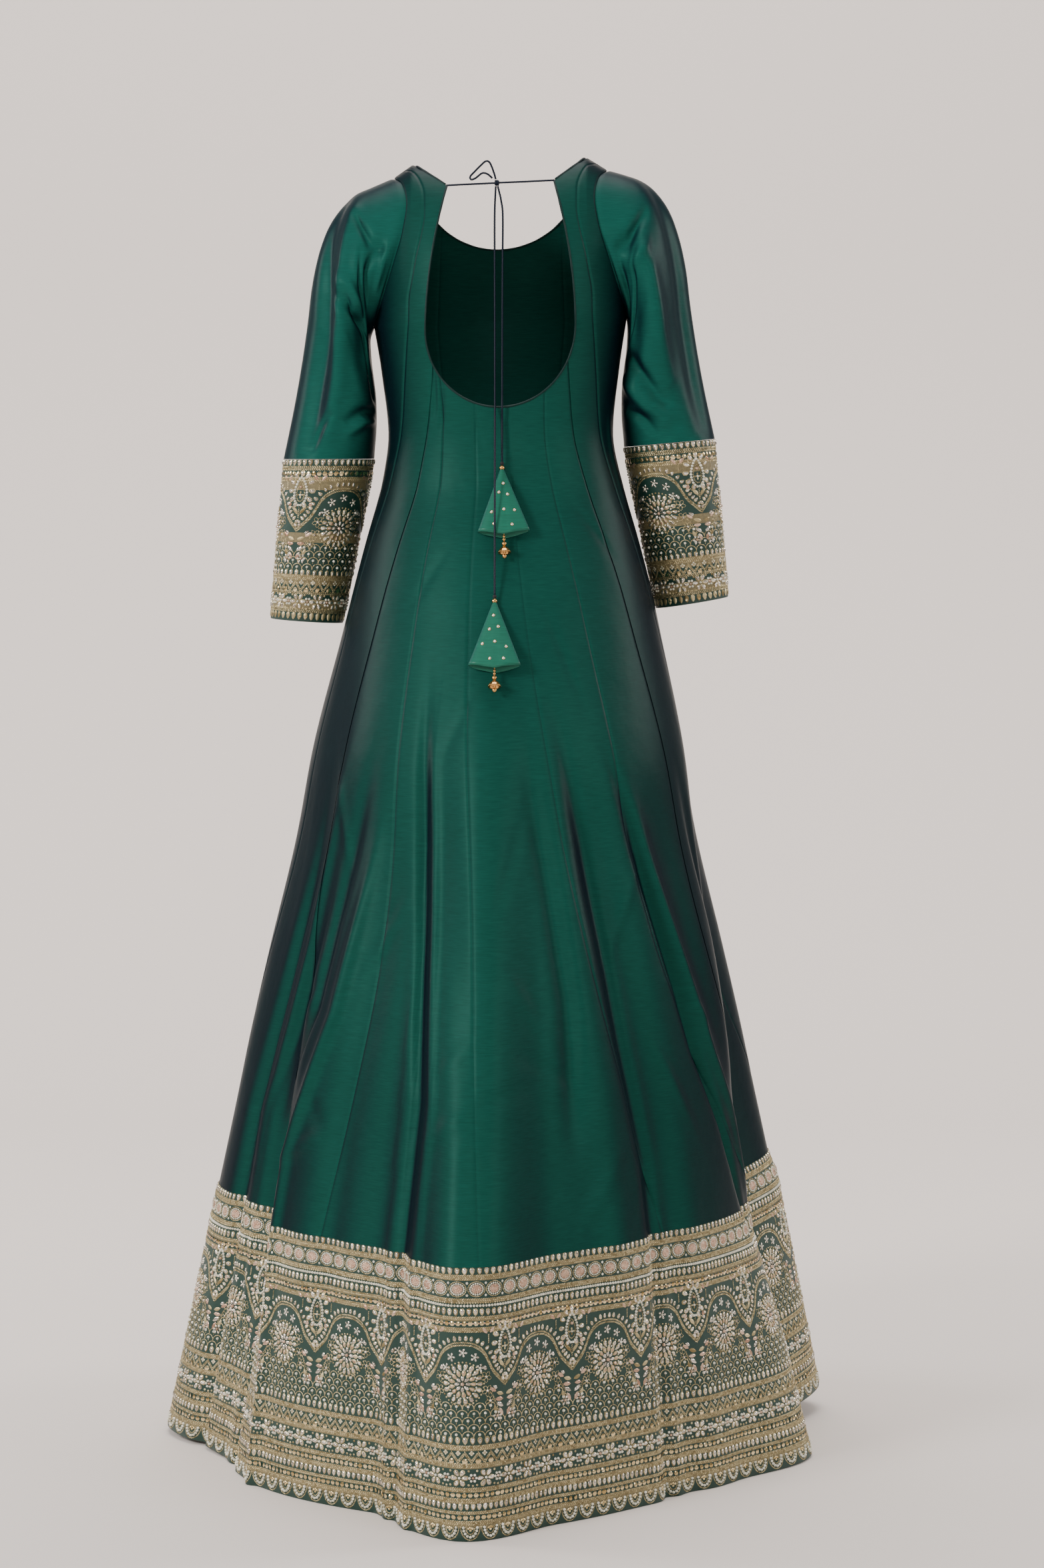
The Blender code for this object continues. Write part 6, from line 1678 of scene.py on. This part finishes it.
for name, line, centre in (
    ("cutout_piping", cutout_line, (0.0, -0.11, 1.34 - SHOULDER_HEIGHT)),
    ("neck_piping", neck_line, (0.0, 0.02, 1.52 - SHOULDER_HEIGHT)),
):
    line = even_line(line[::2], 0.0026)
    inside = np.array(centre) - line
    along = np.gradient(line, axis=0)
    inside -= along * ((inside * along).sum(axis=1) / (along * along).sum(axis=1))[:, None]
    inside /= np.linalg.norm(inside, axis=1, keepdims=True)
    run = np.arange(len(line)) * 0.0026
    uneven = 1 + 0.06 * np.sin(run * 260) + 0.05 * np.sin(run * 97 + 1.0)
    made = round_tube(name + "_silk", line + inside * EDGE_SPARE, PIPING_RADIUS * uneven, [piping_silk], PIPING_SIDES)
    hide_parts(name)
    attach(made, "root")

# The back tie: a dori, a 2.4 mm cord of navy silk laid up from three strands. A cord from each corner of the
# cut-out is tied in a knot at the centre, which leaves a small loop and two ends that hang down the back.
TIE_RADIUS = 0.0012
KNOT = (-0.002, -0.0568, 1.4534 - SHOULDER_HEIGHT)
TIE_CORDS = {
    "left": [(-0.0592, -0.0568, 1.4506), (-0.0310, -0.0568, 1.4520), (-0.0030, -0.0568, 1.4533)],
    "right": [(0.0632, -0.0568, 1.4564), (0.0310, -0.0568, 1.4549), (-0.0010, -0.0568, 1.4535)],
}
TIE_LOOP = [
    (-0.0032, -0.0572, 1.4574),
    (-0.0055, -0.0578, 1.4654),
    (-0.0100, -0.0583, 1.4759),
    (-0.0145, -0.0586, 1.4774),
    (-0.0200, -0.0586, 1.4729),
    (-0.0270, -0.0584, 1.4659),
    (-0.0320, -0.0582, 1.4604),
    (-0.0310, -0.0598, 1.4569),
    (-0.0260, -0.0608, 1.4584),
    (-0.0185, -0.0613, 1.4639),
    (-0.0125, -0.0610, 1.4629),
    (-0.0070, -0.0598, 1.4584),
]
TIE_ENDS = {
    "short": [
        (-0.0009, -0.0572, 1.4495),
        (0.0027, -0.0603, 1.4340),
        (0.0047, -0.0640, 1.4160),
        (0.0045, -0.0731, 1.3707),
        (0.0043, -0.0827, 1.3231),
        (0.0042, -0.0924, 1.2755),
        (0.0041, -0.1023, 1.2279),
        (0.0040, -0.1083, 1.2020),
        (0.0040, -0.1066, 1.1860),
        (0.0040, -0.1076, 1.1645),
        (0.0040, -0.1093, 1.1403),
    ],
    "long": [
        (-0.0032, -0.0572, 1.4495),
        (-0.0045, -0.0640, 1.4160),
        (-0.0044, -0.0762, 1.3556),
        (-0.0042, -0.0888, 1.2930),
        (-0.0041, -0.1018, 1.2304),
        (-0.0040, -0.1082, 1.1980),
        (-0.0040, -0.1123, 1.1689),
        (-0.0040, -0.1224, 1.1386),
        (-0.0040, -0.1326, 1.1083),
        (-0.0040, -0.1428, 1.0781),
        (-0.0040, -0.1513, 1.0473),
        (-0.0040, -0.1581, 1.0161),
        (-0.0040, -0.1631, 0.9927),
    ],
}
STRANDS = 3
THREAD_RADIUS = 0.0006
STRAND_TWIST = 2 * math.pi / 0.0095

cord_silk, cord_shader = shader_of("twisted_navy_silk_cord")
cord_shader.inputs["Roughness"].default_value = 0.42
cord_shader.inputs["Specular IOR Level"].default_value = 0.2
# The cord's near-black turned colour paints shade where the cord turns away from view.
silk_colour(cord_silk, cord_shader, "#0C1729", "#070C16", "#0A1826")


def tie_cord(name, points, tail=()):
    """A stretch of the dori, laid up from strands, and the single thread that runs on from its end."""
    line = even_line(np.array(points) - [0, 0, SHOULDER_HEIGHT], 0.0011)
    reach = np.full(len(line), TIE_RADIUS)
    if len(tail):
        thread = even_line(np.concatenate([line[-1:], tail]), 0.0011)[1:]
        line = np.concatenate([line, thread])
        reach = np.concatenate([reach, np.full(len(thread), THREAD_RADIUS)])
    made = round_tube(name + "_silk", line, reach, [cord_silk], 12, False, STRANDS, STRAND_TWIST, 0.18)
    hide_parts(name)
    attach(made, "root")
    return made, line


for side, points in TIE_CORDS.items():
    made, line = tie_cord("tie_cord_" + side, points)
made, line = tie_cord("tie_loop", TIE_LOOP)

# The knot itself: two turns of the cord drawn tight over each other.
KNOT_TURNS = 3
KNOT_REACH = 0.0024
knot_turn = np.linspace(0, 2 * math.pi * KNOT_TURNS, 91)
knot_line = np.array(KNOT) + np.stack(
    [
        0.0019 * np.cos(knot_turn / KNOT_TURNS * 2) * np.cos(knot_turn * 0.5),
        -KNOT_REACH * np.cos(knot_turn),
        KNOT_REACH * np.sin(knot_turn),
    ],
    axis=-1,
)
made = round_tube("tie_knot_silk", knot_line, 0.00115, [cord_silk], 10, False, STRANDS, STRAND_TWIST, 0.18)
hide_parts("tie_knot")
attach(made, "root")


# The latkans on the two hanging ends. Each is a square of bright green silk folded into a flat cone with stones
# set on it, under a gilt bead and a knot of black thread, with small gilt beads and a bell-shaped cap below.
LATKANS = {
    "short": {
        "apex": (0.0040, -0.1103, 1.1300),
        "rim": (0.0061, -0.1383, 1.0620),
        "across": (0.9995, 0.0, 0.0305),
        "beads": 0,
        "stones": [(0.22, 0.10), (0.36, -0.34), (0.40, 0.40), (0.62, 0.05), (0.68, -0.62), (0.66, 0.62), (0.86, -0.42), (0.88, 0.36)],
    },
    "long": {
        "apex": (-0.0040, -0.1643, 0.9825),
        "rim": (-0.0040, -0.1988, 0.9150),
        "across": (1.0, 0.0, 0.0),
        "beads": 1,
        "stones": [(0.20, -0.15), (0.38, 0.32), (0.42, -0.40), (0.60, 0.02), (0.66, -0.66), (0.70, 0.60), (0.87, -0.20), (0.88, 0.38)],
    },
}
CONE_SIDES = 64
CONE_ROWS = 20
CONE_TOP = 0.0026
CONE_HALF_WIDTH = 0.0295
CONE_HALF_DEPTH = 0.0080
CONE_BOW = 0.006
BEAD_SEAT = 0.0027
BEAD_RADIUS = 0.0030
THREAD_KNOT = 0.0022
CHARM_BEADS = [
    {"below": 0.0060, "radius": 0.0016},
    {"below": 0.0096, "radius": 0.0017},
    {"below": 0.0146, "radius": 0.0026},
    {"below": 0.0296, "radius": 0.0024},
]
CAP = [
    {"below": 0.0176, "radius": 0.0012},
    {"below": 0.0186, "radius": 0.0027},
    {"below": 0.0200, "radius": 0.0041},
    {"below": 0.0216, "radius": 0.0054},
    {"below": 0.0232, "radius": 0.0064},
    {"below": 0.0243, "radius": 0.0066},
    {"below": 0.0250, "radius": 0.0074},
    {"below": 0.0256, "radius": 0.0073},
    {"below": 0.0252, "radius": 0.0060},
    {"below": 0.0232, "radius": 0.0050},
    {"below": 0.0215, "radius": 0.0034},
]

latkan_silk, latkan_shader = shader_of("bright_green_taffeta")
latkan_shader.inputs["Roughness"].default_value = 0.38
latkan_shader.inputs["Specular IOR Level"].default_value = 0.25
# The cone's darker turned colour paints shade where the folded cone turns away from view.
silk_colour(latkan_silk, latkan_shader, "#176853", "#124F48", "#125443")
antique_gold, gold_shader = shader_of("antique_gold_plate")
gold_shader.inputs["Metallic"].default_value = 1.0
gold_shader.inputs["Roughness"].default_value = 0.28
gold_shader.inputs["Base Color"].default_value = linear("#D2A263")
black_thread, thread_shader = shader_of("black_sewing_thread")
thread_shader.inputs["Roughness"].default_value = 0.75
thread_shader.inputs["Base Color"].default_value = linear("#15161A")
paste_stone, stone_shader = shader_of("cut_glass_stone")
stone_shader.inputs["Base Color"].default_value = linear("#E9EDF2")
stone_shader.inputs["Metallic"].default_value = 0.9
stone_shader.inputs["Roughness"].default_value = 0.08


def spun(name, centre, axis, profile, sides, material, flutes=0, flute_depth=0.0):
    """A turned form: (distance along the axis, radius) rows about a centre, with flutes if it has any."""
    axis = np.asarray(axis, float) / np.linalg.norm(axis)
    across = np.cross(axis, [0.0, 1.0, 0.0])
    across /= np.linalg.norm(across)
    forward = np.cross(axis, across)
    turn = np.arange(sides) * 2 * math.pi / sides
    lobes = 1 - flute_depth * (1 - np.abs(np.cos(flutes * turn / 2))) if flutes else np.ones(sides)
    ring = (lobes * np.cos(turn))[:, None] * across + (lobes * np.sin(turn))[:, None] * forward
    vertices = np.concatenate([np.asarray(centre) + axis * along + ring * reach for along, reach in profile])
    faces = grid_faces(len(profile), sides, True)
    faces.append(tuple(reversed(range(sides))))
    last = (len(profile) - 1) * sides
    faces.append(tuple(last + s for s in range(sides)))
    return add_mesh(name, vertices, faces, [material])


def bead_profile(size, squash=1.0):
    turn = np.linspace(-0.46 * math.pi, 0.46 * math.pi, 15)
    return [(squash * size * math.sin(t), size * math.cos(t)) for t in turn]


def joined(name, parts):
    """Several meshes as one piece."""
    bpy.ops.object.select_all(action="DESELECT")
    for part in parts:
        part.select_set(True)
    bpy.context.view_layer.objects.active = parts[0]
    bpy.ops.object.join()
    parts[0].name = name
    return parts[0]


for name, row in LATKANS.items():
    apex = np.array(row["apex"]) - [0, 0, SHOULDER_HEIGHT]
    rim = np.array(row["rim"]) - [0, 0, SHOULDER_HEIGHT]
    axis = (rim - apex) / np.linalg.norm(rim - apex)
    across = np.array(row["across"]) - axis * np.dot(row["across"], axis)
    across /= np.linalg.norm(across)
    forward = np.cross(across, axis)
    forward = -forward if forward[1] > 0 else forward
    turn = np.arange(CONE_SIDES) * 2 * math.pi / CONE_SIDES

    def cone_point(share, angle, out=0.0):
        """A point of the folded cone: its flat sides, a fold at each edge and one down the front."""
        wide = CONE_TOP + (CONE_HALF_WIDTH - CONE_TOP) * share + out
        deep = CONE_TOP + (CONE_HALF_DEPTH - CONE_TOP) * share + out
        pleat = 1 - 0.10 * share * np.exp(-(((np.cos(angle) - 0.12) / 0.10) ** 2)) * (np.sin(angle) > 0)
        bow = CONE_BOW * share * (1 - np.abs(np.cos(angle)))
        ripple = 0.0006 * share * np.sin(5 * angle + 1.3)
        return (
            apex
            + np.multiply.outer(share, rim - apex)
            + np.multiply.outer(np.cos(angle) * wide, across)
            + np.multiply.outer(np.sin(angle) * (deep * pleat + ripple), forward)
            + np.multiply.outer(bow, axis)
        )

    shares, angles = np.meshgrid(np.linspace(0, 1, CONE_ROWS), turn, indexing="ij")
    outer = cone_point(shares, angles)
    tucked = np.stack([cone_point(share, angles[0], -0.0012) for share in (np.full(CONE_SIDES, 0.995), np.full(CONE_SIDES, 0.80))])
    cloth = np.concatenate([outer, tucked])
    cone = add_mesh(f"latkan_{name}_cone_silk", cloth.reshape(-1, 3), grid_faces(len(cloth), CONE_SIDES, True), [latkan_silk])
    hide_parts(f"latkan_{name}_cone")

    stones = []
    for number, (share, place) in enumerate(row["stones"]):
        angle = math.acos(place)
        centre = cone_point(np.array(share), np.array(angle))
        face = forward + 0.35 * place * across
        profile = [(-0.0002, 0.0014), (0.0004, 0.0014), (0.0008, 0.0009), (0.0010, 0.0004)]
        stones.append(spun(f"stone_{name}_{number}", centre, face, profile, 10, paste_stone))
        claw = [(-0.0003, 0.0018), (0.0003, 0.0018), (0.0004, 0.0014)]
        stones.append(spun(f"setting_{name}_{number}", centre, face, claw, 12, antique_gold))
    stones = joined(f"latkan_{name}_stones", stones)

    below = axis
    charm = [spun(f"charm_{name}_stem", rim, below, [(-0.058, 0.0007), (0.0320, 0.0007)], 10, antique_gold)]
    for number, part in enumerate(CHARM_BEADS):
        charm.append(
            spun(f"charm_{name}_{number}", rim + below * part["below"], below, bead_profile(part["radius"]), 20, antique_gold)
        )
    cap = [(part["below"], part["radius"]) for part in CAP]
    charm.append(spun(f"charm_{name}_cap", rim, below, cap, 48, antique_gold, 16, 0.10))
    charm = joined(f"latkan_{name}_charm_gold", charm)
    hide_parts(f"latkan_{name}_charm")

    place = apex - axis * BEAD_SEAT
    top_bead = spun(f"latkan_{name}_bead_gold", place, (0, 0, -1), bead_profile(BEAD_RADIUS), 24, antique_gold, 12, 0.06)
    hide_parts(f"latkan_{name}_bead")
    place = place + np.array([0.0, 0.0, BEAD_RADIUS * 0.97 + THREAD_KNOT])
    knot = spun(f"latkan_{name}_knot_thread", place, (0, 0, -1), bead_profile(THREAD_KNOT, 1.05), 16, black_thread, 7, 0.16)
    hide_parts(f"latkan_{name}_knot")
    pieces = [cone, stones, charm, top_bead, knot]
    for piece in pieces:
        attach(piece, "root")
    made, line = tie_cord("tie_end_" + name, TIE_ENDS[name], [place, apex, (apex + rim) / 2, rim, rim + axis * 0.030])
